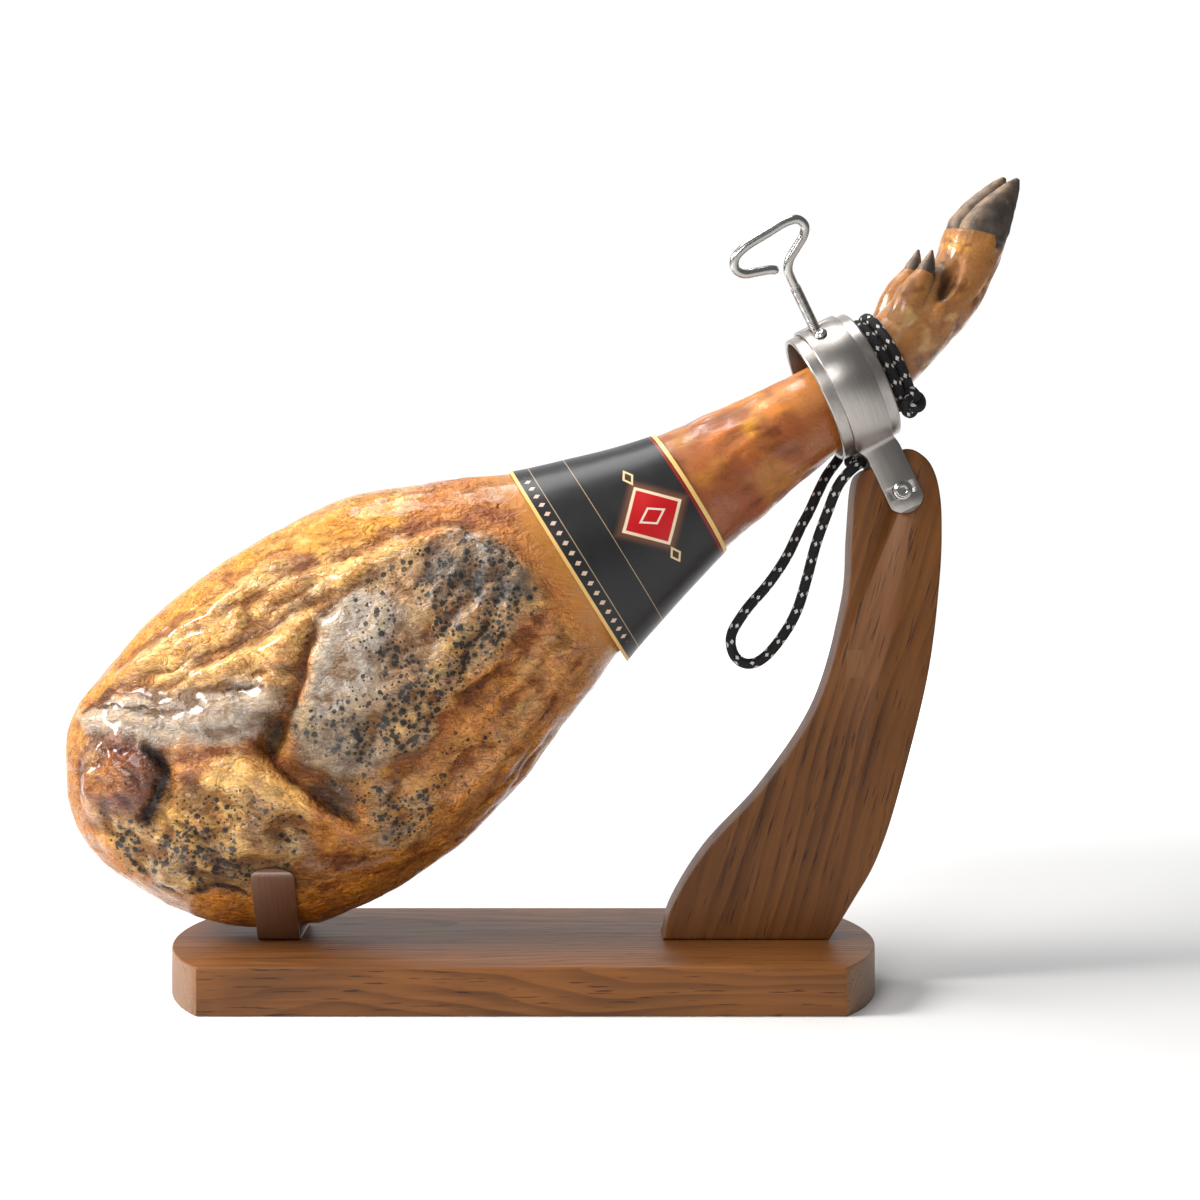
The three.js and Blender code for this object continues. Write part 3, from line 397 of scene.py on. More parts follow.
def lathe(profile, sides, round_edges=0.0):
    """A profile of (radius, height) points turned round Z. The ends may lie on the axis."""
    profile = rounded(profile, round_edges) if round_edges else np.asarray(profile, float)
    turn = full_turn(sides)
    radius = np.maximum(profile[:, 0], 1e-3)[:, None]
    rings = np.stack([radius * np.cos(turn), radius * np.sin(turn),
                      np.broadcast_to(profile[:, 1][:, None], (len(profile), sides))], -1)
    run = run_of(profile)
    return skin(rings, along=run)


def rounded(profile, radius):
    """The same open line with each inner corner rounded off."""
    steps = 4
    profile = [np.asarray(p, float) for p in profile]
    out = [profile[0]]
    for before, corner, after in zip(profile, profile[1:], profile[2:]):
        back, ahead = before - corner, after - corner
        reach = min(radius, 0.45 * np.linalg.norm(back), 0.45 * np.linalg.norm(ahead))
        start = corner + back / np.linalg.norm(back) * reach
        end = corner + ahead / np.linalg.norm(ahead) * reach
        for k in range(steps + 1):
            t = k / steps
            out.append((1 - t) ** 2 * start + 2 * t * (1 - t) * corner + t * t * end)
    out.append(profile[-1])
    return np.array(out)


def tube(path, radius, sides, swell=None, round_ends=True):
    """A tube round a path. swell gives the radius at each ring and side as a share of the radius."""
    path = np.asarray(path, float)
    along = np.gradient(path, axis=0)
    along /= np.linalg.norm(along, axis=1)[:, None]
    side = np.cross(along[0], (0, 0, 1) if abs(along[0][2]) < 0.9 else (1, 0, 0))
    sides_out = []
    for direction in along:
        side = side - direction * np.dot(side, direction)
        side /= np.linalg.norm(side)
        sides_out.append(side)
    across = np.array(sides_out)
    up = np.cross(along, across)
    run = run_of(path)
    turn = full_turn(sides)
    reach = np.full((len(path), sides), float(radius))
    if swell is not None:
        reach = reach * swell(np.broadcast_to(turn / TAU, reach.shape), run[:, None])
    if round_ends:
        inset = np.minimum(run, run[-1] - run)
        bend = np.sqrt(np.clip(1 - (1 - np.clip(inset / radius, 0, 1)) ** 2, 0.02, 1))
        reach = reach * bend[:, None]
    ring = across[:, None, :] * np.cos(turn)[None, :, None] + up[:, None, :] * np.sin(turn)[None, :, None]
    return skin(path[:, None, :] + ring * reach[:, :, None], along=run)


def ribbon(line, half_width, thickness, middle=None):
    """A strip along a line in y and z, its width along x, with rounded edges."""
    line = np.asarray(line, float)
    along = np.gradient(line, axis=0)
    along /= np.linalg.norm(along, axis=1)[:, None]
    face = np.stack([-along[:, 1], along[:, 0]], axis=1)
    run = run_of(line)
    edge = min(0.5, thickness * 0.3)
    half = thickness / 2
    corner = [(0, edge), (0.3 * edge, 0.3 * edge), (edge, 0)]
    outline = [(-1, a, half - b) for a, b in corner] + [(1, a, half - b) for a, b in corner[::-1]]
    outline += [(1, a, -half + b) for a, b in corner] + [(-1, a, -half + b) for a, b in corner[::-1]]
    middle = np.zeros(len(line)) if middle is None else middle
    rings = []
    for k in range(len(line)):
        ring = []
        for sign, inset, lift in outline:
            x = middle[k] + sign * max(half_width[k] - inset, 0.05)
            y, z = line[k] + face[k] * lift
            ring.append((x, y, z))
        rings.append(ring)
    across = [0.0]
    for here, there in zip(outline, outline[1:] + outline[:1]):
        edge_run = math.hypot(there[1] - here[1], there[2] - here[2])
        across.append(across[-1] + (2 * half_width.max() if here[0] != there[0] else edge_run))
    return skin(rings, around=across, along=run)


def arc(cx, cy, radius, start, end, steps):
    turn = np.radians(np.linspace(start, end, steps + 1))
    return np.stack([cx + radius * np.cos(turn), cy + radius * np.sin(turn)], axis=1)


# Ham sections
def leg_place(along, drop, away):
    slope = math.radians(LEG_AXIS["slope"])
    return (LEG_AXIS["x"] + along * math.cos(slope) + drop * math.sin(slope), away,
            LEG_AXIS["z"] + along * math.sin(slope) - drop * math.cos(slope))


HAM_SECTIONS = [
    (leg_place(along, drop, away), LEG_AXIS["slope"], width, depth, full)
    for along, drop, away, width, depth, full in LEG_SECTIONS] + ANKLE_SECTIONS


def sections_at(sections, places):
    share = np.asarray(places, float) / (len(sections) - 1)
    table = np.array([(*at, heading, width, depth, full) for at, heading, width, depth, full in sections])
    return spline(table, share)


def rims(rows, turn, grow=0.0):
    """Rings of points round the sections; turn 0 is the underside and runs towards the back."""
    at, heading, width, depth, full = rows[:, :3], np.radians(rows[:, 3]), rows[:, 4], rows[:, 5], rows[:, 6]
    power = (2 / full)[:, None]

    def bend(value):
        return np.sign(value) * np.abs(value) ** power

    down = (width[:, None] + grow) * bend(np.cos(turn)[None, :])
    away = (depth[:, None] + grow) * bend(np.sin(turn)[None, :])
    return np.stack([
        at[:, :1] + down * np.sin(heading)[:, None],
        at[:, 1:2] + away,
        at[:, 2:3] - down * np.cos(heading)[:, None]], -1)


def leg_reach(points):
    slope = math.radians(LEG_AXIS["slope"])
    return ((points[..., 0] - LEG_AXIS["x"]) * math.cos(slope)
            + (points[..., 2] - LEG_AXIS["z"]) * math.sin(slope))


def shifted(sections, shift):
    return [(tuple(a + b for a, b in zip(at, shift)), *rest) for at, *rest in sections]


# Fields over the ham's front, by x and z in millimetres
def oval(x, z, at, long, wide, turn=0.0):
    """1 in the middle of an oval and falling to 0 at about its edge."""
    turn = math.radians(turn)
    along = ((x - at[0]) * math.cos(turn) + (z - at[1]) * math.sin(turn)) / long
    across = (-(x - at[0]) * math.sin(turn) + (z - at[1]) * math.cos(turn)) / wide
    return np.exp(-((along ** 2 + across ** 2) ** 2))


def piece_distance(x, z, start, end):
    """The distance to a straight piece of line, and the share of it at the nearest place."""
    run = end - start
    share = np.clip(((x - start[0]) * run[0] + (z - start[1]) * run[1]) / float(run @ run), 0, 1)
    return np.hypot(x - start[0] - share * run[0], z - start[1] - share * run[1]), share


def line_distance(x, z, points):
    """The distance to a line of points, and the share of its length at the nearest place."""
    points = np.asarray(points, float)
    best = np.full(x.shape, FAR)
    share = np.zeros(x.shape)
    for number, (start, end) in enumerate(zip(points, points[1:])):
        distance, part = piece_distance(x, z, start, end)
        nearer = distance < best
        best = np.where(nearer, distance, best)
        share = np.where(nearer, (number + part) / (len(points) - 1), share)
    return best, share


def in_patch(x, z, outline, soft):
    """1 inside a closed outline, 0 outside, with an edge that is soft over that distance."""
    points = np.asarray(outline, float)
    inside = np.zeros(x.shape, bool)
    best = np.full(x.shape, FAR)
    for start, end in zip(points, np.roll(points, -1, axis=0)):
        rise = end[1] - start[1]
        slope = (end[0] - start[0]) / (rise if rise != 0 else TINY)
        crosses = (start[1] > z) != (end[1] > z)
        inside ^= crosses & (x < start[0] + (z - start[1]) * slope)
        best = np.minimum(best, piece_distance(x, z, start, end)[0])
    return smooth(np.where(inside, best, -best), -soft, soft)


# The patches of the ham's front, by x and z
PATCHES = {
    "fat_rim": [
        (-295, 205), (-265, 246), (-226, 280), (-180, 312), (-160, 330), (-124, 342), (-93, 354),
        (-67, 355), (-76, 332), (-85, 314), (-118, 308), (-147, 299), (-170, 299), (-201, 278), (-226, 258),
        (-260, 232), (-279, 212)],
    "wrinkled": [
        (-280, 209), (-260, 232), (-201, 275), (-165, 302), (-144, 294), (-93, 312), (-52, 316), (-98, 294),
        (-129, 260), (-147, 232), (-160, 201), (-201, 212), (-239, 208)],
    "grey_band": [
        (-305, 188), (-278, 202), (-239, 206), (-206, 212), (-185, 217), (-163, 212), (-160, 196),
        (-170, 185), (-180, 178), (-214, 173), (-239, 171), (-273, 174), (-300, 178)],
    "muscle": [
        (-147, 207), (-135, 253), (-118, 273), (-98, 294), (-77, 304), (-52, 314), (-23, 312), (5, 289),
        (18, 266), (-5, 248), (-18, 227), (-41, 212), (-52, 196), (-67, 171), (-93, 160), (-103, 154),
        (-124, 149), (-144, 171), (-157, 194)],
    "sheen": [
        (-144, 212), (-131, 253), (-116, 271), (-93, 273), (-77, 263), (-85, 237), (-103, 212), (-118, 196),
        (-139, 191)],
    "mould": [(-67, 302), (-47, 312), (-21, 311), (0, 291), (7, 273), (-16, 262), (-41, 271), (-65, 273)],
    "yellow_lean": [
        (-93, 255), (-67, 268), (-8, 263), (-18, 230), (-44, 212), (-57, 191), (-70, 171), (-93, 163),
        (-98, 186), (-85, 217)],
    "grey_green": [
        (-157, 186), (-144, 196), (-118, 199), (-103, 191), (-103, 165), (-113, 137), (-129, 145),
        (-147, 155)],
    "green_hollow": [(-144, 145), (-129, 147), (-116, 137), (-111, 119), (-124, 126), (-139, 137)],
    "cream": [
        (-293, 135), (-257, 119), (-247, 132), (-216, 145), (-190, 145), (-165, 140), (-144, 124),
        (-147, 99), (-160, 86), (-180, 81), (-185, 65), (-208, 70), (-239, 72), (-265, 85), (-285, 108)],
    "blue_spots": [
        (-276, 117), (-247, 114), (-216, 109), (-185, 101), (-185, 86), (-214, 77), (-239, 72), (-262, 83)],
    "amber_fold": [(-242, 171), (-214, 172), (-198, 173), (-203, 158), (-226, 150), (-242, 153)],
    "butter": [
        (-214, 155), (-196, 171), (-172, 160), (-147, 140), (-144, 124), (-170, 137), (-196, 137),
        (-211, 140)],
    "mauve": [(-185, 137), (-160, 137), (-147, 124), (-149, 104), (-170, 104), (-185, 117)],
    "right_grey": [(-106, 147), (-77, 158), (-57, 150), (-59, 119), (-77, 99), (-98, 96), (-106, 117)],
    "pink_right": [
        (-5, 243), (18, 263), (61, 236), (36, 212), (10, 181), (-21, 145), (-47, 129), (-52, 165),
        (-39, 181), (-16, 212)],
    "amber_band": [
        (61, 234), (80, 226), (44, 175), (8, 138), (-28, 102), (-60, 80), (-88, 62), (-106, 56), (-118, 73),
        (-93, 88), (-54, 104), (-21, 145), (7, 180), (36, 210)],
    "amber_bottom": [
        (-226, 71), (-216, 73), (-196, 68), (-180, 64), (-144, 70), (-106, 81), (-93, 70), (-118, 50),
        (-170, 36), (-205, 44), (-226, 58)],
    "brown_low": [
        (-180, 81), (-160, 86), (-144, 96), (-106, 94), (-83, 91), (-106, 78), (-144, 69), (-180, 64)],
    "shank_side": [
        (-77, 352), (-8, 362), (36, 291), (64, 236), (20, 263), (6, 290), (-22, 315), (-52, 318),
        (-80, 309)],
}

# Colours of the cured meat, fat and skin, and of the painted shade in deep creases, in linear light
SKIN = {
    "rind": (0.55, 0.25, 0.060),
    "fat": (0.80, 0.42, 0.070),
    "fat_pale": (0.92, 0.66, 0.28),
    "tan": (0.80, 0.54, 0.25),
    "orange": (0.59, 0.285, 0.055),
    "pink": (0.64, 0.33, 0.125),
    "grey": (0.49, 0.40, 0.31),
    "mauve": (0.30, 0.185, 0.125),
    "slate": (0.075, 0.066, 0.052),
    "olive": (0.14, 0.08, 0.022),
    "lean": (0.42, 0.235, 0.070),
    "cream": (0.56, 0.36, 0.130),
    "butter": (0.86, 0.61, 0.24),
    "amber": (0.57, 0.25, 0.030),
    "umber": (0.20, 0.082, 0.022),
    "knob": (0.26, 0.080, 0.025),
    # Painted shade: near black, laid in the crease beside the knob and in the dent on the front of the foot
    "crease_shade": (0.035, 0.010, 0.004),
    "red": (0.30, 0.080, 0.028),
    "skin": (0.64, 0.275, 0.080),
    "shank": (0.42, 0.160, 0.048),
    "foot": (0.40, 0.190, 0.065),
    "bruise": (0.25, 0.17, 0.085),
}


def ham_fields(points):
    """The colour of the skin at each point, with some painted light and shade in it, and its masks: spots,
    creases for painted shade, film with painted sheen, and gloss.
    """
    x, y, z = points.T
    warp = np.stack([rough(points, 16, 11, 3), rough(points, 16, 21, 3)], 1)
    bent_x, bent_z = x + 4.0 * warp[:, 0], z + 4.0 * warp[:, 1]
    reach = leg_reach(points)
    front = smooth(-y, -14, 6)
    butt = smooth(-reach, 232, 262)
    fine = rough(points, 7, 31, 3)
    broad = rough(points, 34, 41, 3)
    tone = np.empty((len(points), 3))
    tone[:] = SKIN["rind"]

    def lay(name, mask, strength=1.0):
        share = np.clip(mask * strength, 0, 1)[:, None]
        tone[:] = tone * (1 - share) + np.array(SKIN[name]) * share

    def patch(name, soft=5.0, broken=0.5):
        mask = in_patch(bent_x, bent_z, PATCHES[name], soft)
        return np.clip(mask * (1 + broken * fine), 0, 1) * front * butt

    def cloud(size, seed, low, high, octaves=3, at=points):
        return smooth(rough(at, size, seed, octaves), low, high)

    def spot(place, long, wide, turn=0.0):
        return oval(bent_x, bent_z, place, long, wide, turn)

    # The back is rind: golden brown, paler towards the rim, with a few grey and amber clouds
    lay("orange", smooth(broad, -0.2, 0.7), 0.6)
    lay("tan", cloud(22, 51, 0.1, 0.8) * (1 - front), 0.55)
    lay("fat", smooth(z - x * 0.62, 325, 380) * butt, 0.55)
    lay("grey", cloud(40, 61, 0.35, 0.9, 2) * (1 - front) * butt, 0.45)
    lay("amber", cloud(30, 71, 0.3, 0.9, 2) * butt, 0.4)

    # The front, patch by patch
    lay("fat", patch("fat_rim", 5, 0.1), 0.95)
    lay("fat_pale", patch("fat_rim", 9, 0.2) * cloud(14, 81, -0.1, 0.7), 0.5)
    diagonal = np.stack([bent_x * 0.82 + bent_z * 0.57, y, (-bent_x * 0.57 + bent_z * 0.82) * 5.5], 1)
    streaks = rough(diagonal, 30, 91, 3)
    wrinkled = patch("wrinkled", 6, 0.2)
    lay("tan", wrinkled, 0.85)
    lay("orange", wrinkled * smooth(streaks, 0.05, 0.55), 0.75)
    lay("butter", wrinkled * cloud(17, 95, 0.15, 0.7, at=diagonal), 0.7)
    lay("grey", wrinkled * smooth(-streaks, 0.2, 0.7), 0.55)
    lay("pink", wrinkled * smooth(broad, 0.1, 0.7), 0.4)
    lay("shank", spot((-151, 291), 12, 11), 0.55)
    band = patch("grey_band", 5, 0.2)
    # The grey band is laid grey: the meat's grey film, with painted sheen in it
    lay("grey", band, 0.9)
    lay("mauve", band * smooth(streaks, 0.2, 0.7), 0.6)
    muscle = patch("muscle", 5, 0.15)
    lay("cream", muscle, 0.9)
    # Painted sheen: the muscle's left part is laid grey
    lay("grey", muscle * smooth(-bent_x - 0.5 * (bent_z - 230), 40, 100), 0.85)
    lay("lean", muscle * cloud(12, 101, 0.05, 0.7), 0.6)
    lean = patch("yellow_lean", 8, 0.5)
    lay("lean", lean, 0.85)
    lay("olive", lean * cloud(10, 115, 0.2, 0.9), 0.5)
    lay("amber", lean * cloud(9, 111, 0.15, 0.7, 2), 0.5)
    lay("butter", lean * cloud(8, 117, 0.25, 0.8), 0.6)
    lay("grey", patch("sheen", 8, 0.2), 0.7)
    lay("bruise", muscle * cloud(15, 119, 0.1, 0.7, at=diagonal) * smooth(-bent_z, -290, -200), 0.55)
    mould = patch("mould", 7, 0.5)
    lay("mauve", mould, 0.7)
    lay("slate", mould * cloud(11, 121, -0.25, 0.4), 0.75)
    green = patch("grey_green", 8, 0.4)
    lay("bruise", green, 0.85)
    lay("grey", green * cloud(13, 131, 0.1, 0.7), 0.5)
    lay("slate", patch("green_hollow", 4, 0.3), 0.8)
    lay("olive", spot((-167, 176), 9, 11), 0.9)
    cream = patch("cream", 8, 0.3)
    lay("cream", cream, 0.9)
    lay("grey", cream * cloud(17, 141, 0.0, 0.7), 0.55)
    lay("umber", cream * cloud(15, 151, 0.3, 0.9), 0.65)
    lay("butter", cream * cloud(11, 155, 0.1, 0.7), 0.7)
    lay("butter", patch("butter", 6, 0.5), 0.7)
    lay("pink", patch("amber_fold", 5, 0.3), 0.75)
    lay("mauve", patch("mauve", 8, 0.6), 0.6)
    grey = patch("right_grey", 8, 0.4)
    lay("cream", grey, 0.6)
    lay("grey", grey * cloud(12, 161, -0.2, 0.5), 0.6)
    pink = patch("pink_right", 9, 0.3)
    lay("pink", pink, 0.6)
    lay("lean", pink * cloud(16, 171, 0.1, 0.7), 0.5)
    lay("cream", pink * cloud(22, 175, 0.1, 0.7, at=diagonal), 0.6)
    lay("shank", spot((-48, 214), 7, 6), 0.7)
    lay("shank", spot((4, 251), 12, 9), 0.7)
    lay("umber", spot((-30, 205), 14, 8, 30), 0.5)
    lay("umber", patch("brown_low", 7, 0.5), 0.7)
    lay("bruise", patch("cream", 12, 0.5) * smooth(-bent_z, -118, -80), 0.5)
    lay("umber", front * butt * cloud(9, 185, 0.35, 0.8) * smooth(-bent_z, -170, -60), 0.6)
    amber = patch("amber_band", 5, 0.1)
    lay("amber", amber, 0.92)
    lay("umber", amber * cloud(16, 181, 0.3, 0.9, 2, at=diagonal), 0.4)
    lay("amber", patch("amber_bottom", 5, 0.1), 0.95)
    side = patch("shank_side", 8, 0.2)
    lay("skin", side, 0.85)
    lay("orange", side * cloud(26, 191, 0.2, 0.8), 0.5)
    lay("red", line_mask(bent_x, bent_z, [(-39, 329), (-26, 326), (-12, 323), (-5, 330)], 5), 0.6)

    # The knob at the butt, with near-black painted shade in the crease along its right side
    knob = spot((-274, 152), 31, 29) * front
    lay("knob", smooth(knob, 0.25, 0.7), 0.95)
    lay("umber", knob * cloud(10, 201, 0.1, 0.7), 0.6)
    lay("amber", spot((-281, 148), 17, 13, 40) * front, 0.55)
    # Painted highlight: a small pale spot at the knob's upper left
    lay("tan", spot((-291, 160), 9, 6, 50) * front, 0.5)
    lay("mauve", spot((-288, 172), 14, 8, 20) * front, 0.6)
    lay("crease_shade", line_mask(x, z, CREASES[0][3], 6) * front, 0.85)
    lay("umber", spot((-286, 204), 7, 5) * front, 0.8)

    # The shank, the ankle and the trotter
    shank = smooth(reach, -150, -120) * (1 - smooth(reach, 30, 60))
    lay("shank", shank, 0.9)
    over = z * 0.85 - x * 0.53
    long_grain = np.stack([reach * 0.25, y, over], 1)
    # Painted light and shade: the shank's underside is laid redder and its upper side paler
    lay("red", shank * smooth(-over, -250, -225), 0.35)
    lay("skin", shank * smooth(over, 225, 250), 0.8)
    lay("umber", shank * cloud(18, 211, 0.15, 0.8, 2, at=long_grain), 0.5)
    lay("red", shank * cloud(26, 221, 0.15, 0.8, 2), 0.5)
    lay("red", shank * smooth(-reach, 62, 112), 0.55)
    lay("umber", shank * cloud(12, 225, 0.3, 0.8), 0.6)
    lay("orange", shank * cloud(22, 231, 0.2, 0.8, 2), 0.6)
    lay("fat", spot((158, 385), 7, 8) * smooth(-y, 4, 12), 0.8)
    lay("fat", spot((160, 398), 7, 4) * smooth(-y, 4, 12), 0.35)
    foot = smooth(reach, 20, 60)
    lay("foot", foot, 0.95)
    lay("orange", foot * cloud(14, 241, 0.1, 0.8), 0.3)
    lay("bruise", foot * cloud(17, 251, 0.25, 0.8), 0.75)
    lay("tan", foot * cloud(11, 261, 0.3, 0.8), 0.5)
    lay("umber", foot * cloud(13, 265, 0.35, 0.8), 0.75)
    lay("bruise", foot * smooth(reach, 175, 200), 0.35)
    # Painted shade in the dent on the front of the foot
    lay("crease_shade", spot((291, 485), 12, 4.5, 62) * smooth(-y, 2, 10), 0.85)
    lay("fat", spot((301, 511), 9, 5, -20), 0.45)

    spots = (0.9 * patch("yellow_lean", 10, 0.5) + 0.8 * patch("grey_green", 12, 0.5) + 0.9 * mould
             + 1.0 * patch("blue_spots", 12, 0.5) + 0.85 * patch("right_grey", 12, 0.5)
             + 0.5 * patch("cream", 10, 0.5) + 0.4 * muscle * smooth(bent_x, -140, -100)
             + 0.5 * patch("pink_right", 14, 0.6) * smooth(-x, -10, 30))
    spots = np.clip(spots, 0, 1) * cloud(26, 271, -1.0, -0.1, 2)
    spots = np.maximum(spots, 0.22 * (1 - front) * butt * cloud(45, 281, 0.2, 0.7, 2))
    # The creases' mask, for painted shade along the deep creases
    crease = np.zeros(len(points))
    for width, _, dark, line in CREASES:
        if dark:
            mark = dark * line_mask(bent_x, bent_z, line, width * 1.3) * smooth(-y, -2, 8)
            crease = np.maximum(crease, mark)
    film = np.clip(1.0 * band + 0.9 * patch("sheen", 8, 0.3) + 0.35 * muscle, 0, 1)
    gloss = 0.55 + 0.6 * band + 0.6 * knob + 0.5 * amber + 0.4 * patch("fat_rim", 8) + 0.3 * broad
    gloss = np.clip(gloss, 0, 1)
    return tone, spots, crease, film, gloss


def line_mask(x, z, points, width):
    distance, share = line_distance(x, z, points)
    ends = smooth(share, -0.02, 0.12) * (1 - smooth(share, 0.88, 1.02))
    return np.exp(-((distance / width) ** 2)) * ends


def folds(points, size, aspect, angle, seed, octaves=3):
    """Rounded folds with sharp creases between them, 0 in a crease, drawn out along an angle over X."""
    turn = math.radians(angle)
    x, y, z = points.T
    along = (x * math.cos(turn) + z * math.sin(turn)) / aspect
    across = -x * math.sin(turn) + z * math.cos(turn)
    where = np.stack([along, y * 0.6, across], 1)
    total, weight = 0, 0
    for octave in range(octaves):
        total = total + np.abs(rough(where, size * 0.5 ** octave, seed + 7 * octave)) * 0.55 ** octave
        weight += 0.55 ** octave
    return total / weight * 2.2


# The height of a fold that leaves the skin where it is
FOLD_LEVEL = 0.6


def ham_relief(points, strength):
    """How far the skin stands out, beyond the larger forms: folds, creases and fine roughness."""
    x, y, z = points.T
    front = smooth(-y, -10, 14)
    warp = np.stack([rough(points, 22, 301, 3), rough(points, 22, 305, 3), rough(points, 22, 309, 3)], 1)
    bent = points + 5.0 * warp
    bent_x, bent_z = x + 2.5 * warp[:, 0], z + 2.5 * warp[:, 2]
    rise = np.zeros(len(points))
    for width, height, _, line in CREASES:
        rise += height * line_mask(bent_x, bent_z, line, width)
    wrinkled = in_patch(bent_x, bent_z, PATCHES["wrinkled"], 9)
    band = in_patch(bent_x, bent_z, PATCHES["grey_band"], 6)
    muscle = in_patch(bent_x, bent_z, PATCHES["muscle"], 5)
    lower = np.clip(in_patch(x, z, PATCHES["cream"], 16) + in_patch(x, z, PATCHES["butter"], 12)
                    + 0.8 * in_patch(x, z, PATCHES["brown_low"], 12), 0, 1)
    right = in_patch(x, z, PATCHES["pink_right"], 12) + in_patch(x, z, PATCHES["right_grey"], 12)
    right = np.clip(right, 0, 1)
    knob = oval(x, z, (-274, 152), 31, 29)
    rise += 1.2 * muscle + 1.0 * band + 0.8 * in_patch(bent_x, bent_z, PATCHES["amber_fold"], 4)
    for part, height, size, aspect, angle, seed in (
            (wrinkled, 4.2, 15, 4.5, 34, 311), (band, 2.8, 12, 5.5, 4, 341), (muscle, 1.7, 17, 3.0, 56, 371),
            (lower, 3.6, 21, 1.7, -24, 401), (right, 2.2, 16, 4.0, 52, 431), (knob, 3.0, 13, 1.4, 70, 461)):
        rise += height * part * (folds(bent, size, aspect, angle, seed) - FOLD_LEVEL)
    rise += 0.9 * (1 - wrinkled) * rough(points, 19, 321, 4)
    rise *= front
    rise += 1.0 * rough(points, 48, 331, 3) * (1 - front) + 0.5 * rough(points, 12, 341, 3)
    rise += 0.9 * (1 - front) * (folds(bent, 34, 3.0, 36, 481) - FOLD_LEVEL)
    reach = leg_reach(points)
    shank = smooth(reach, -112, -96) * (1 - smooth(reach, -20, 10))
    foot = smooth(reach, 62, 84)
    rise += (shank * 0.8 * (folds(bent, 16, 5, 34, 491, 2) - FOLD_LEVEL)
             + foot * 1.5 * (folds(bent, 13, 2.2, 60, 495, 3) - FOLD_LEVEL))
    under_sleeve = smooth(reach, -262, -240) * (1 - smooth(reach, -126, -108))
    by_ring = smooth(reach, -60, -30) * (1 - smooth(reach, 62, 80))
    by_cradle = smooth(-np.abs(x - CRADLE["x"]), -26, -18) * (1 - smooth(z, 92, 102))
    calm = (1 - under_sleeve) * (1 - 0.85 * by_ring) * (1 - by_cradle) * (1 - 0.5 * foot)
    return rise * calm * strength


def blurred(grid, reach):
    """A grid of values evened out over that many cells each way; the columns go round."""
    out = grid
    window = 2 * reach + 1
    for _ in range(2):
        padded = np.concatenate([out[:, -reach:], out, out[:, :reach]], axis=1)
        total = np.cumsum(np.concatenate([np.zeros((len(out), 1)), padded], axis=1), axis=1)
        out = (total[:, window:] - total[:, :-window]) / window
        padded = np.concatenate([np.repeat(out[:1], reach, 0), out, np.repeat(out[-1:], reach, 0)])
        total = np.cumsum(np.concatenate([np.zeros((1, out.shape[1])), padded]), axis=0)
        out = (total[window:] - total[:-window]) / window
    return out


# Materials
class Value:
    """A socket of a node tree that can be used in sums."""

    def __init__(self, paint, socket):
        self.paint = paint
        self.socket = socket

    def __add__(self, other):
        return self.paint.maths("ADD", self, other)

    def __radd__(self, other):
        return self.paint.maths("ADD", other, self)

    def __sub__(self, other):
        return self.paint.maths("SUBTRACT", self, other)

    def __rsub__(self, other):
        return self.paint.maths("SUBTRACT", other, self)

    def __mul__(self, other):
        return self.paint.maths("MULTIPLY", self, other)

    def __rmul__(self, other):
        return self.paint.maths("MULTIPLY", other, self)

    def __truediv__(self, other):
        return self.paint.maths("DIVIDE", self, other)

    def of(self, operation, other=0.0):
        return self.paint.maths(operation, self, other)


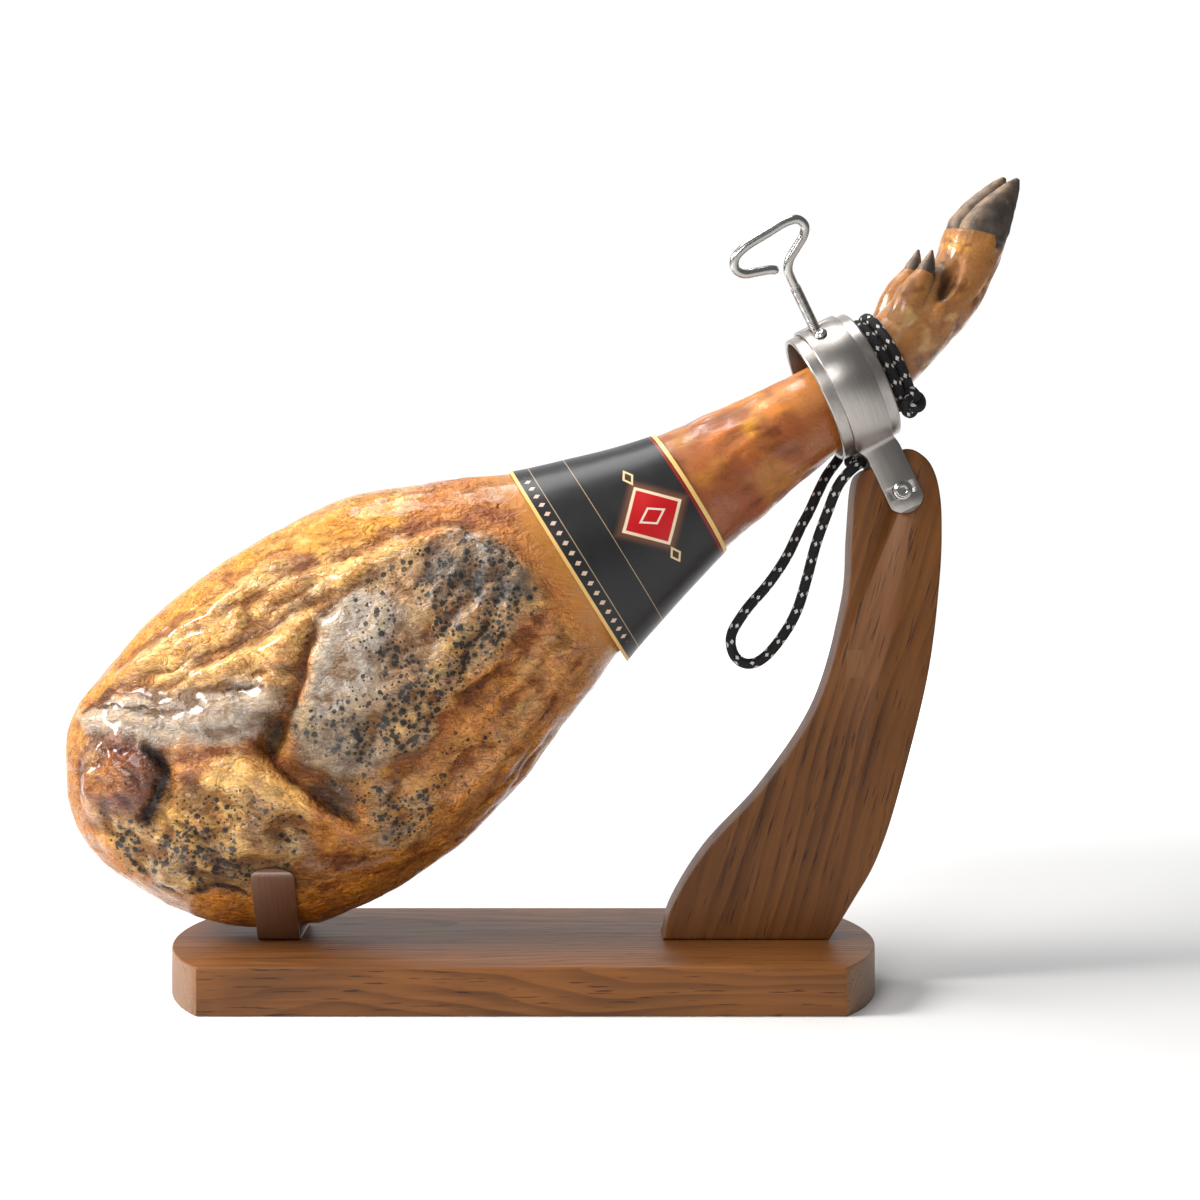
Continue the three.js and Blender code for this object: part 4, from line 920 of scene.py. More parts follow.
class Paint:
    """A material, its principled shader, and short ways to add nodes."""

    def __init__(self, name, **constants):
        self.material = bpy.data.materials.new(name)
        self.material.use_nodes = True
        self.tree = self.material.node_tree
        self.shader = self.tree.nodes["Principled BSDF"]
        for socket, value in constants.items():
            self.set(self.shader.inputs[socket.replace("_", " ")], value)

    def set(self, socket, value):
        if isinstance(value, Value):
            self.tree.links.new(value.socket, socket)
        elif socket.type == "RGBA":
            socket.default_value = (*value[:3], 1)
        else:
            socket.default_value = value

    def node(self, kind, settings=None, inputs=None, output=0):
        node = self.tree.nodes.new(kind)
        for name, value in (settings or {}).items():
            if name == "stops":
                while len(node.color_ramp.elements) < len(value):
                    node.color_ramp.elements.new(0.5)
                for element, (place, colour) in zip(node.color_ramp.elements, value):
                    element.position = place
                    element.color = (*colour, 1)
            else:
                setattr(node, name, value)
        for name, value in (inputs or {}).items():
            self.set(node.inputs[name], value)
        return Value(self, node.outputs[output])

    def maths(self, operation, first, second=0.0):
        return self.node("ShaderNodeMath", {"operation": operation}, {0: first, 1: second})

    def mix(self, factor, first, second, blend="MIX"):
        return self.node("ShaderNodeMix", {"data_type": "RGBA", "blend_type": blend},
                         {0: factor, 6: first, 7: second}, 2)

    def place(self, output="Object"):
        return self.node("ShaderNodeTexCoord", output=output)

    def parts(self, where):
        node = self.tree.nodes.new("ShaderNodeSeparateXYZ")
        self.set(node.inputs[0], where)
        return [Value(self, node.outputs[k]) for k in range(3)]

    def point(self, x, y):
        return self.node("ShaderNodeCombineXYZ", inputs={0: x, 1: y})

    def stretch(self, where, scale, turn=(0, 0, 0)):
        return self.node("ShaderNodeMapping", inputs={
            "Vector": where, "Scale": scale, "Rotation": [math.radians(angle) for angle in turn]})

    def noise(self, where, scale, detail=4.0, roughness=0.55, distortion=0.0):
        return self.node("ShaderNodeTexNoise", inputs={
            "Vector": where, "Scale": scale, "Detail": detail, "Roughness": roughness,
            "Distortion": distortion})

    def drawn(self, where, scale, detail, roughness, distortion=0.0, turn=(0, 0, 0)):
        """Noise with a scale of its own along each axis."""
        return self.noise(self.stretch(where, scale, turn), 1.0, detail, roughness, distortion)

    def cells(self, where, scale, output=0):
        return self.node("ShaderNodeTexVoronoi", inputs={"Vector": where, "Scale": scale}, output=output)

    def attribute(self, name, output=2):
        return self.node("ShaderNodeAttribute", {"attribute_name": name}, output=output)

    def step(self, value, low, high, start=0.0, end=1.0):
        return self.node("ShaderNodeMapRange", {"interpolation_type": "SMOOTHSTEP"}, {
            "Value": value, "From Min": low, "From Max": high, "To Min": start, "To Max": end})

    def finish(self, colour, roughness=None, bumps=(), **links):
        self.set(self.shader.inputs["Base Color"], colour)
        if roughness is not None:
            self.set(self.shader.inputs["Roughness"], roughness)
        for name, value in links.items():
            self.set(self.shader.inputs[name.replace("_", " ")], value)
        normal = None
        for height, distance, strength in bumps:
            inputs = {"Height": height, "Distance": distance, "Strength": strength}
            if normal is not None:
                inputs["Normal"] = normal
            normal = self.node("ShaderNodeBump", inputs=inputs)
        if normal is not None:
            self.set(self.shader.inputs["Normal"], normal)
        return self.material


def shade(colour, share):
    return tuple(part * share for part in colour)


def wood_material(name, lean, heart, ring_width, dark, light, plug=False):
    """Stained pine. lean turns the grain up from X; heart is the middle of the year rings."""
    paint = Paint(name, Specular_IOR_Level=0.3)
    where = paint.place()
    grain = paint.stretch(where, (1, 1, 1), turn=(0, lean, 0))
    slow = paint.noise(paint.stretch(grain, (1.6, 7, 7)), 1.6, 3, 0.5)
    x, y, z = paint.parts(grain)
    off_y, off_z = y - heart[0], z - heart[1]
    reach = (off_y * off_y + off_z * off_z).of("SQRT")
    rings = (reach + slow * 0.055 + x * 0.012) * (1 / ring_width)
    share = rings.of("FRACT")
    late = paint.step(share, 0.25, 0.86) * paint.step(share, 0.9, 1.0, 1.0, 0.0)
    late = late * paint.step(paint.drawn(grain, (5, 38, 38), 3, 0.5), 0.36, 0.62, 0.15, 1.2)
    fibre = paint.drawn(grain, (9, 300, 300), 5, 0.65)
    streak = paint.drawn(grain, (5, 95, 95), 4, 0.6)
    pores = paint.drawn(grain, (34, 760, 760), 2, 0.5)
    cloud = paint.drawn(where, (9, 9, 9), 3, 0.5)
    tone = late * 0.30 + fibre * 0.50 + streak * 0.85 - 0.38
    colour = paint.node("ShaderNodeValToRGB", {"stops": [
        (0.12, light), (0.45, tuple((a + b) / 2 for a, b in zip(light, dark))), (0.82, dark)]}, {"Fac": tone})
    colour = paint.mix(paint.step(cloud, 0.35, 0.75, 0.0, 0.45), colour, shade(light, 1.35))
    if abs(lean) < 1:
        end_grain = paint.step(paint.parts(paint.place("Normal"))[0].of("ABSOLUTE"), 0.55, 0.9)
        colour = paint.mix(end_grain * 0.55, colour, (0.30, 0.20, 0.135))
    dashes = paint.step(pores, 0.30, 0.37, 0.75, 0.0)
    colour = paint.mix(dashes, colour, shade(dark, 0.35))
    if plug:
        # A wooden plug in the front face, placed in metres
        plug_x, plug_y, plug_z = paint.parts(where)
        inside = (paint.step((plug_x - 0.2290).of("ABSOLUTE"), 0.0056, 0.0062, 1, 0)
                  * paint.step((plug_z - 0.2232).of("ABSOLUTE"), 0.0092, 0.0100, 1, 0)
                  * paint.step(plug_y, -0.013, -0.0145))
        colour = paint.mix(inside * 0.8, colour, paint.mix(fibre, (0.24, 0.105, 0.032), (0.15, 0.06, 0.02)))
    roughness = 0.34 + fibre * 0.16 + cloud * 0.1
    return paint.finish(colour, roughness, [(streak + late * 0.4, 0.0012, 0.25), (fibre, 0.0005, 0.45),
                                            (dashes * -1, 0.0004, 0.6)])


def steel_material(name, tint, roughness, brushed=True, along_u=False, stain=0.25):
    """Steel with smears. Brushed lines run along v, or along u where along_u is set."""
    paint = Paint(name, Metallic=1.0)
    where = paint.place()
    smear = paint.drawn(where, (60, 60, 60), 4, 0.6)
    wipe = paint.drawn(where, (14, 14, 14), 3, 0.5)
    if brushed:
        u, v, _ = paint.parts(paint.place("UV"))
        across, along = (u, v) if along_u else (v, u)
        lines = paint.noise(paint.point(across * 2.6, along * 0.02), 1.0, 4, 0.75)
        hair = paint.noise(paint.point(across * 9, along * 0.05), 1.0, 2, 0.6)
        height = lines * 0.6 + hair * 0.4
    else:
        height = paint.drawn(where, (300, 300, 300), 2, 0.5)
    colour = paint.mix(paint.step(smear, 0.35, 0.8, 0.0, stain), tint, shade(tint, 0.62))
    if brushed:
        colour = paint.mix(paint.step(height, 0.62, 0.38, 0.0, 0.55), colour, shade(tint, 0.48))
    rough_map = roughness + height * 0.14 + wipe * 0.1 - 0.1
    return paint.finish(colour, rough_map, [(height, 0.00012, 0.6)] if brushed else ())


def ham_material(props):
    paint = Paint("ham_skin", Subsurface_Weight=0.05, Subsurface_Radius=(0.012, 0.005, 0.002),
                  Subsurface_Scale=0.25, Specular_IOR_Level=0.42, Coat_Roughness=0.10, Coat_IOR=1.45)
    where = paint.place()
    tone = paint.attribute("tone", 0)
    spots, crease, film, gloss, hollow, flat = (
        paint.attribute(name) for name in ("spots", "crease", "film", "gloss", "hollow", "calm"))
    calm = 1 - flat * 0.90
    fine = paint.noise(where, 210, 6, 0.65, 0.4)
    grit = paint.noise(where, 700, 4, 0.6)
    cloud = paint.noise(where, 62, 5, 0.6, 0.8)
    drift = paint.noise(where, 24, 4, 0.6, 0.5)
    fibres = paint.drawn(where, (60, 220, 330), 5, 0.6, turn=(0, -34, 0))
    fold = (paint.drawn(where, (70, 120, 170), 4, 0.55, 0.6, turn=(0, -30, 0)) - 0.5).of("ABSOLUTE")
    crumple = (paint.noise(where, 150, 3, 0.5, 0.5) - 0.5).of("ABSOLUTE")

    # Multiplies the colour by a tint, for stains and for painted light and shade alike
    def stain(colour, share, tint):
        return paint.mix(share, colour, paint.mix(1.0, colour, tint, "MULTIPLY"))

    # What stains the skin, and the painted shade that the fold and crumple rows lay in the creases of their
    # bumps: each source, its values at none and at most, its strength and its tint
    colour = tone
    for source, low, high, most, tint in (
            (cloud, 0.42, 0.70, 0.7, (0.72, 0.55, 0.38)), (drift, 0.55, 0.35, 0.7, (1.22, 1.16, 1.0)),
            (fibres, 0.5, 0.75, 0.85, (1.30, 1.22, 1.08)), (fibres, 0.46, 0.28, 0.75, (0.62, 0.45, 0.28)),
            (fine, 0.55, 0.75, 0.4, (0.66, 0.50, 0.34)), (fold, 0.030, 0.0, 0.85, (0.50, 0.36, 0.21)),
            (crumple, 0.020, 0.0, 0.3, (0.66, 0.48, 0.30))):
        share = paint.step(source, low, high, 0.0, most)
        colour = stain(colour, share if source is drift else share * calm, tint)
    # Film and painted sheen: a pale grey laid over the band, the sheen patch and the muscle
    colour = paint.mix(film * paint.step(fine, 0.35, 0.7, 0.20, 0.70), colour, (0.52, 0.49, 0.47))
    # Painted shade in the hollows, and painted highlight on the ridges
    colour = stain(colour, paint.step(hollow, 0.15, 1.1, 0.0, 0.9), (0.50, 0.35, 0.19))
    colour = stain(colour, paint.step(hollow, -0.1, -0.8, 0.0, 0.8), (1.30, 1.25, 1.12))
    edge = (fine - 0.5) * 0.5 + (grit - 0.5) * 0.15

    def specks(scale, low, high):
        chance = paint.cells(where, scale, output=1)
        there = paint.step(chance + spots * 0.80, 0.80, 0.90)
        size = chance * 0.30 + edge
        return there * paint.step(paint.cells(where, scale) + size, low, high, 1.0, 0.0)

    mark = specks(165, 0.46, 0.54).of("MAXIMUM", specks(300, 0.44, 0.54)) * paint.step(spots, 0.08, 0.35)
    halo = specks(165, 0.50, 0.90) * paint.step(spots, 0.3, 0.8) * 0.5
    colour = paint.mix(halo, colour, (0.085, 0.070, 0.050))
    colour = paint.mix(mark * 0.88, colour, (0.020, 0.017, 0.016))
    # Painted shade along the creases
    cut = paint.step(crease + (fine - 0.5) * 1.1 + (fibres - 0.5) * 0.7, 0.32, 1.05)
    colour = stain(colour, cut, (0.20, 0.12, 0.08))
    colour = paint.node("ShaderNodeGamma", inputs={"Color": colour, "Gamma": 1.16})
    colour = paint.node("ShaderNodeHueSaturation", inputs={
        "Saturation": props.saturation, "Value": props.brightness, "Color": colour})
    shine = paint.step(cloud + (drift - 0.5) * 0.6 + gloss * 0.5 - hollow * 0.15, 0.62, 0.98)
    roughness = 0.46 - shine * 0.28 + mark * 0.25 + grit * 0.08
    return paint.finish(
        colour, roughness,
        [(cloud * calm, 0.006, 0.5), (fold * calm, 0.014, 0.7), (crumple * calm, 0.0045, 0.6),
         (fine * calm, 0.0014, 0.5), (grit, 0.0003, 0.4)],
        Coat_Weight=shine * 0.8)


def horn_material():
    paint = Paint("horn", Specular_IOR_Level=0.5)
    where = paint.place()
    tip = paint.attribute("tip")
    upper = paint.attribute("upper")
    streak = paint.drawn(where, (60, 500, 60), 5, 0.6, turn=(0, -70, 0))
    cloud = paint.noise(where, 120, 4, 0.6)
    chalk = paint.noise(where, 260, 4, 0.7)
    colour = paint.mix(paint.step(streak, 0.35, 0.7), (0.045, 0.036, 0.030), (0.115, 0.085, 0.065))
    # Paler on the upper side, painted light, and paler towards the tip
    pale = (upper * 0.9 + tip * 0.5) * paint.step(cloud, 0.25, 0.7)
    colour = paint.mix(pale, colour, (0.33, 0.21, 0.12))
    colour = paint.mix(paint.step(chalk, 0.63, 0.72, 0.0, 0.7), colour, (0.36, 0.31, 0.26))
    return paint.finish(colour, 0.33 + cloud * 0.3, [(streak, 0.0008, 0.5), (chalk, 0.0005, 0.5)])


def rope_material(props):
    """Black braid with pale flecks in rows. UV: u once round, v in millimetres along."""
    paint = Paint("rope_braid", Specular_IOR_Level=0.35)
    u, v, _ = paint.parts(paint.place("UV"))
    strand, climb = u * BRAID["strands"], v * BRAID["climb"]
    braid = ((strand + climb).of("FRACT") - 0.5).of("ABSOLUTE")
    counter = ((strand - climb).of("FRACT") - 0.5).of("ABSOLUTE")
    strands = braid.of("MAXIMUM", counter)
    column = (u * 6).of("FLOOR")
    side = ((u * 6).of("FRACT") - 0.5).of("ABSOLUTE")
    odd = (column * 0.5).of("FRACT") * 2
    row = (v / props.fleck_spacing + odd * 0.16).of("FRACT") - 0.5
    ahead = row.of("ABSOLUTE") * props.fleck_spacing
    heart = side * 1.5 + ahead * 0.30 + braid * 0.30
    fleck = paint.step(heart, 0.56, 0.70, 1.0, 0.0)
    thread = paint.noise(paint.point(u * 90, v * 1.4), 1.0, 3, 0.6)
    black = paint.mix(thread, (0.006, 0.006, 0.007), (0.022, 0.020, 0.020))
    colour = paint.mix(fleck, black, paint.mix(thread, (0.48, 0.45, 0.42), (0.86, 0.84, 0.81)))
    return paint.finish(colour, 0.62 + thread * 0.3, [(strands * -1, 0.0012, 0.6), (thread, 0.0003, 0.5)])


def label_material():
    """Black paper with gold borders. UV in millimetres: u from the front's middle, v along the leg."""
    paint = Paint("label_paper", Specular_IOR_Level=0.35, Coat_Weight=0.12, Coat_Roughness=0.2)
    u, v, _ = paint.parts(paint.place("UV"))
    fibre = paint.noise(paint.point(u * 1.4, v * 1.4), 1.0, 5, 0.65)
    cloud = paint.noise(paint.point(u * 0.03, v * 0.05), 1.0, 2, 0.5)
    colour = paint.mix(fibre * 0.5 + cloud * 0.4, (0.009, 0.009, 0.010), (0.030, 0.029, 0.030))
    gold = paint.mix(fibre, (0.74, 0.43, 0.12), (0.93, 0.64, 0.24))

    def band(place, half):
        return paint.step((v - place).of("ABSOLUTE"), half, half + 0.14, 1.0, 0.0)

    length = SLEEVE["to"] - SLEEVE["from"]
    rule = band(13.5, 0.22).of("MAXIMUM", band(length * 0.36, 0.16))
    colour = paint.mix(rule * 0.75, colour, (0.55, 0.42, 0.24))
    colour = paint.mix(band(length - 4.2, 0.8), colour, (0.26, 0.012, 0.012))

    # A row of small gold diamonds between the border and the first rule
    spacing = 8.0
    cell = (u / spacing).of("FRACT") - 0.5
    small = cell.of("ABSOLUTE") * spacing / 2.0 + (v - 8.2).of("ABSOLUTE") / 3.0
    row = paint.step(small, 0.82, 1.0, 1.0, 0.0) * paint.step(u.of("ABSOLUTE"), 74.0, 75.0, 1.0, 0.0)
    colour = paint.mix(row * 0.9, colour, paint.mix(fibre, (0.72, 0.50, 0.38), (0.90, 0.66, 0.50)))

    # The lozenge with its rim, the pale leaf in it, and a small diamond either side
    def diamond(shift, wide, tall):
        return (u - shift).of("ABSOLUTE") / wide + (v - length * 0.66).of("ABSOLUTE") / tall

    big, leaf = diamond(0.0, 24.0, 24.0), diamond(0.0, 7.0, 11.0)
    left, right = diamond(-32.0, 7.5, 4.5), diamond(32.0, 7.5, 4.5)
    red = paint.mix(fibre, (0.50, 0.004, 0.008), (0.66, 0.010, 0.014))
    colour = paint.mix(paint.step(big, 1.0, 1.35, 0.45, 0.0), colour, (0.35, 0.13, 0.06))
    for shape, low, high, tint in (
            (big, 0.97, 1.0, (0.93, 0.74, 0.52)), (big, 0.85, 0.88, red),
            (leaf, 0.93, 1.0, (0.92, 0.80, 0.66)), (leaf, 0.70, 0.77, (0.56, 0.006, 0.010)),
            (left, 0.9, 1.0, (0.86, 0.62, 0.34)), (left, 0.55, 0.62, (0.05, 0.03, 0.02)),
            (right, 0.9, 1.0, (0.86, 0.62, 0.34)), (right, 0.55, 0.62, (0.05, 0.03, 0.02))):
        colour = paint.mix(paint.step(shape, low, high, 1.0, 0.0), colour, tint)
    border = band(1.4, 1.35).of("MAXIMUM", band(length - 1.4, 1.35))
    colour = paint.mix(border, colour, gold)
    return paint.finish(colour, 0.30 + fibre * 0.14, [(fibre, 0.0002, 0.4), (cloud, 0.003, 0.2)])


# Objects
def make_object(name, shape, material, sharp=35.0):
    mesh = bpy.data.meshes.new(name)
    mesh.from_pydata((shape.points * MM).tolist(), [], shape.faces)
    layer = mesh.uv_layers.new(name="UVMap")
    flat = [np.asarray(pairs, float).ravel() for pairs in shape.corners]
    layer.data.foreach_set("uv", np.concatenate(flat))
    mesh.materials.append(material)
    mesh.shade_smooth()
    mesh.set_sharp_from_angle(angle=math.radians(sharp))
    mesh.update()
    obj = bpy.data.objects.new(name, mesh)
    bpy.context.scene.collection.objects.link(obj)
    return obj


def add_field(obj, name, values):
    values = np.asarray(values, float)
    if values.ndim == 2:
        field = obj.data.attributes.new(name, "FLOAT_COLOR", "POINT")
        field.data.foreach_set("color", np.hstack([values, np.ones((len(values), 1))]).ravel())
    else:
        field = obj.data.attributes.new(name, "FLOAT", "POINT")
        field.data.foreach_set("value", values)


def settle(obj, body, slot, *nodes):
    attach(obj, body)
    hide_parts(*nodes)


def cut_with(obj, cutter):
    """Takes the cutter's shape out of the object, and leaves a plain mesh."""
    tool = make_object("cutter", cutter, obj.data.materials[0])
    change = obj.modifiers.new("cut", "BOOLEAN")
    change.operation = "DIFFERENCE"
    change.solver = "EXACT"
    change.object = tool
    keep_evaluated(obj)
    bpy.data.objects.remove(tool)


def keep_evaluated(obj):
    view = bpy.context.evaluated_depsgraph_get()
    view.update()
    result = bpy.data.meshes.new_from_object(
        obj.evaluated_get(view), preserve_all_data_layers=True, depsgraph=view)
    obj.modifiers.clear()
    obj.data = result


def sweep_tree():
    """Sweeps a small profile along a chain of edges: a thread's ridge along its helix."""
    tree = bpy.data.node_groups.new("sweep_along_path", "GeometryNodeTree")
    tree.interface.new_socket("Geometry", in_out="INPUT", socket_type="NodeSocketGeometry")
    sockets = {}
    for label, kind, value in (("Radius", "NodeSocketFloat", 0.0005), ("Sides", "NodeSocketInt", 4),
                               ("Finish", "NodeSocketMaterial", None)):
        socket = tree.interface.new_socket(label, in_out="INPUT", socket_type=kind)
        if value is not None:
            socket.default_value = value
        sockets[label] = socket.identifier
    tree.interface.new_socket("Geometry", in_out="OUTPUT", socket_type="NodeSocketGeometry")
    nodes, links = tree.nodes, tree.links
    start, end = nodes.new("NodeGroupInput"), nodes.new("NodeGroupOutput")
    path, profile = nodes.new("GeometryNodeMeshToCurve"), nodes.new("GeometryNodeCurvePrimitiveCircle")
    swept, real = nodes.new("GeometryNodeCurveToMesh"), nodes.new("GeometryNodeRealizeInstances")
    coat = nodes.new("GeometryNodeSetMaterial")
    swept.inputs["Fill Caps"].default_value = True
    for source, output, target, socket in (
            (start, "Geometry", path, "Mesh"), (start, "Sides", profile, "Resolution"),
            (start, "Radius", profile, "Radius"), (path, "Curve", swept, "Curve"),
            (profile, "Curve", swept, "Profile Curve"), (swept, "Mesh", real, "Geometry"),
            (real, "Geometry", coat, "Geometry"), (start, "Finish", coat, "Material"),
            (coat, "Geometry", end, "Geometry")):
        links.new(source.outputs[output], target.inputs[socket])
    return tree, sockets


def swept_object(name, path, radius, sides, material):
    """A path of points in millimetres, swept by the geometry nodes above into a plain mesh."""
    mesh = bpy.data.meshes.new(name)
    mesh.from_pydata((np.asarray(path) * MM).tolist(), [(k, k + 1) for k in range(len(path) - 1)], [])
    obj = bpy.data.objects.new(name, mesh)
    bpy.context.scene.collection.objects.link(obj)
    tree, sockets = sweep_tree()
    change = obj.modifiers.new("sweep", "NODES")
    change.node_group = tree
    change[sockets["Radius"]] = radius * MM
    change[sockets["Sides"]] = sides
    change[sockets["Finish"]] = material
    keep_evaluated(obj)
    return obj


def merge(objects):
    """Joins the others into the first, with the first one's materials."""
    with bpy.context.temp_override(active_object=objects[0], selected_editable_objects=objects):
        bpy.ops.object.join()


# What a user would change
class HamLook(bpy.types.PropertyGroup):
    """Skin and gloss of the ham"""
    saturation: bpy.props.FloatProperty(name="Saturation", description="Strength of the skin's colours",
                                        default=1.0, min=0, max=2)
    brightness: bpy.props.FloatProperty(name="Brightness", description="Lightness of the skin's colours",
                                        default=1.0, min=0.2, max=2)
    relief: bpy.props.FloatProperty(name="Relief", description="Height of the folds and creases, as a share",
                                    default=1.0, min=0, max=2)


class WoodLook(bpy.types.PropertyGroup):
    """Stain and grain of the board and the upright"""
    light: bpy.props.FloatVectorProperty(
        name="Early wood", description="Colour of the pale part of a year ring", subtype="COLOR", size=3,
        default=(0.235, 0.086, 0.020), min=0, max=1)
    dark: bpy.props.FloatVectorProperty(
        name="Late wood", description="Colour of the dark part of a year ring", subtype="COLOR", size=3,
        default=(0.048, 0.016, 0.004), min=0, max=1)
    ring_width: bpy.props.FloatProperty(
        name="Ring width", description="Width of a year ring", subtype="DISTANCE", unit="LENGTH",
        default=0.0052, min=0.001, max=0.03)
    easing: bpy.props.FloatProperty(name="Easing", description="Radius of the rubbed-down edges",
                                    subtype="DISTANCE", unit="LENGTH", default=0.0014, min=0.0002, max=0.004)


class SteelLook(bpy.types.PropertyGroup):
    """Finish of the ring, the strap, the cradle and the screw"""
    tint: bpy.props.FloatVectorProperty(
        name="Steel", description="Colour of the brushed ring and strap", subtype="COLOR", size=3,
        default=(0.56, 0.52, 0.485), min=0, max=1)
    cradle_tint: bpy.props.FloatVectorProperty(
        name="Cradle", description="Colour of the cradle's satin steel", subtype="COLOR", size=3,
        default=(0.48, 0.37, 0.31), min=0, max=1)
    roughness: bpy.props.FloatProperty(name="Roughness", description="Roughness of the brushed steel",
                                       default=0.30, min=0.05, max=1)


class RopeLook(bpy.types.PropertyGroup):
    """The black rope with pale flecks"""
    diameter: bpy.props.FloatProperty(name="Diameter", description="Diameter of the rope",
                                      subtype="DISTANCE", unit="LENGTH", default=0.0074, min=0.003, max=0.012)
    fleck_spacing: bpy.props.FloatProperty(
        name="Fleck spacing", description="Millimetres between rows of flecks", default=12.3, min=4, max=30)


class StageLook(bpy.types.PropertyGroup):
    """The camera and the light"""
    lens: bpy.props.FloatProperty(name="Lens", description="Focal length of the camera in millimetres",
                                  default=52.47, min=20, max=200)
    key: bpy.props.FloatProperty(name="Key light", description="Power of the main light", unit="POWER",
                                 default=46.0, min=0, max=500)


# The camera's place in metres and its shift in pixels of the square picture, the floor's rings by radius
# and height, and the lamps: name, place, size, share of the key light's power, and colour
CAMERA_PLACE = (0.025, -1.224, 0.3157)
PICTURE = 1200
PICTURE_SHIFT = (40, -70)
FLOOR_RINGS = ((4200, -6), (4200, -2), (4196, 0), (2000, 0), (600, 0))
FLOOR_SIDES = 96
LAMPS = (
    ("key", (-1.50, -0.30, 1.20), 0.8, 1.0, (1.0, 0.985, 0.96)),
    ("top", (-0.25, 0.10, 1.75), 0.9, 0.32, (1.0, 1.0, 1.0)),
    ("front", (-0.60, -1.7, 1.0), 0.7, 0.21, (1.0, 1.0, 1.0)))
LAMP_AIM = (0.03, 0, 0.25)


# Operators, one for each piece or group of like pieces
class HAM_OT_stage(bpy.types.Operator):
    """Makes the camera, the floor and the lights"""
    bl_idname = "ham.stage"
    bl_label = "Stage"

    def execute(self, context):
        look = context.scene.ham_stage
        data = bpy.data.cameras.new("camera")
        data.lens = look.lens
        data.sensor_width = 36
        data.shift_x = PICTURE_SHIFT[0] / PICTURE
        data.shift_y = PICTURE_SHIFT[1] / PICTURE
        data.clip_end = 30
        camera = bpy.data.objects.new("camera", data)
        camera.location = CAMERA_PLACE
        camera.rotation_euler = (math.pi / 2, 0, 0)
        context.scene.collection.objects.link(camera)
        context.scene.camera = camera
        paint = Paint("stage_paper", Roughness=0.9)
        grain = paint.noise(paint.place(), 300, 3)
        back = paint.parts(paint.place())[1]
        glow = paint.mix(paint.step(back, 0.25, 1.3), (0.0, 0.0, 0.0), (1.0, 1.0, 1.0))
        white = paint.finish(paint.mix(grain, (0.86, 0.86, 0.86), (0.90, 0.90, 0.90)), Emission_Color=glow,
                             Emission_Strength=1.0)
        floor = make_object("stage_floor", stage_floor(), white, sharp=60)
        for name, place, size, share, colour in LAMPS:
            self.light(context, name, place, size, look.key * share, colour)
        world = bpy.data.worlds.new("studio")
        world.use_nodes = True
        tree = world.node_tree
        where = tree.nodes.new("ShaderNodeTexCoord")
        parts = tree.nodes.new("ShaderNodeSeparateXYZ")
        fade = tree.nodes.new("ShaderNodeMapRange")
        fade.interpolation_type = "SMOOTHSTEP"
        for name, value in (("From Min", 0.5), ("From Max", 0.85), ("To Min", 0.16), ("To Max", 1.05)):
            fade.inputs[name].default_value = value
        tree.links.new(where.outputs["Generated"], parts.inputs[0])
        tree.links.new(parts.outputs["Y"], fade.inputs["Value"])
        tree.links.new(fade.outputs["Result"], tree.nodes["Background"].inputs["Strength"])
        tree.nodes["Background"].inputs["Color"].default_value = (1, 1, 1, 1)
        context.scene.world = world
        context.scene.view_settings.view_transform = "Standard"
        return {"FINISHED"}

    @staticmethod
    def light(context, name, place, size, power, colour):
        data = bpy.data.lights.new(name, "AREA")
        data.shape = "DISK"
        data.size = size
        data.energy = power
        data.color = colour
        lamp = bpy.data.objects.new(name, data)
        lamp.location = place
        lamp.rotation_euler = (Vector(LAMP_AIM) - Vector(place)).to_track_quat("-Z", "Y").to_euler()
        context.scene.collection.objects.link(lamp)


def flat_ring(reach, turn, height):
    """A ring of points round Z at one height."""
    return np.stack([reach * np.cos(turn), reach * np.sin(turn), np.full(len(turn), float(height))], 1)


def stage_floor():
    """A large thin floor with a bevelled edge."""
    turn = full_turn(FLOOR_SIDES)
    return skin([flat_ring(radius, turn, height) for radius, height in FLOOR_RINGS])


def braided(turns, run):
    """The strands' swell round and along the rope."""
    strand, climb = turns * BRAID["strands"], run * BRAID["climb"]
    first = np.abs((strand + climb) % 1 - 0.5)
    second = np.abs((strand - climb) % 1 - 0.5)
    return 1 - 0.05 * np.maximum(first, second)


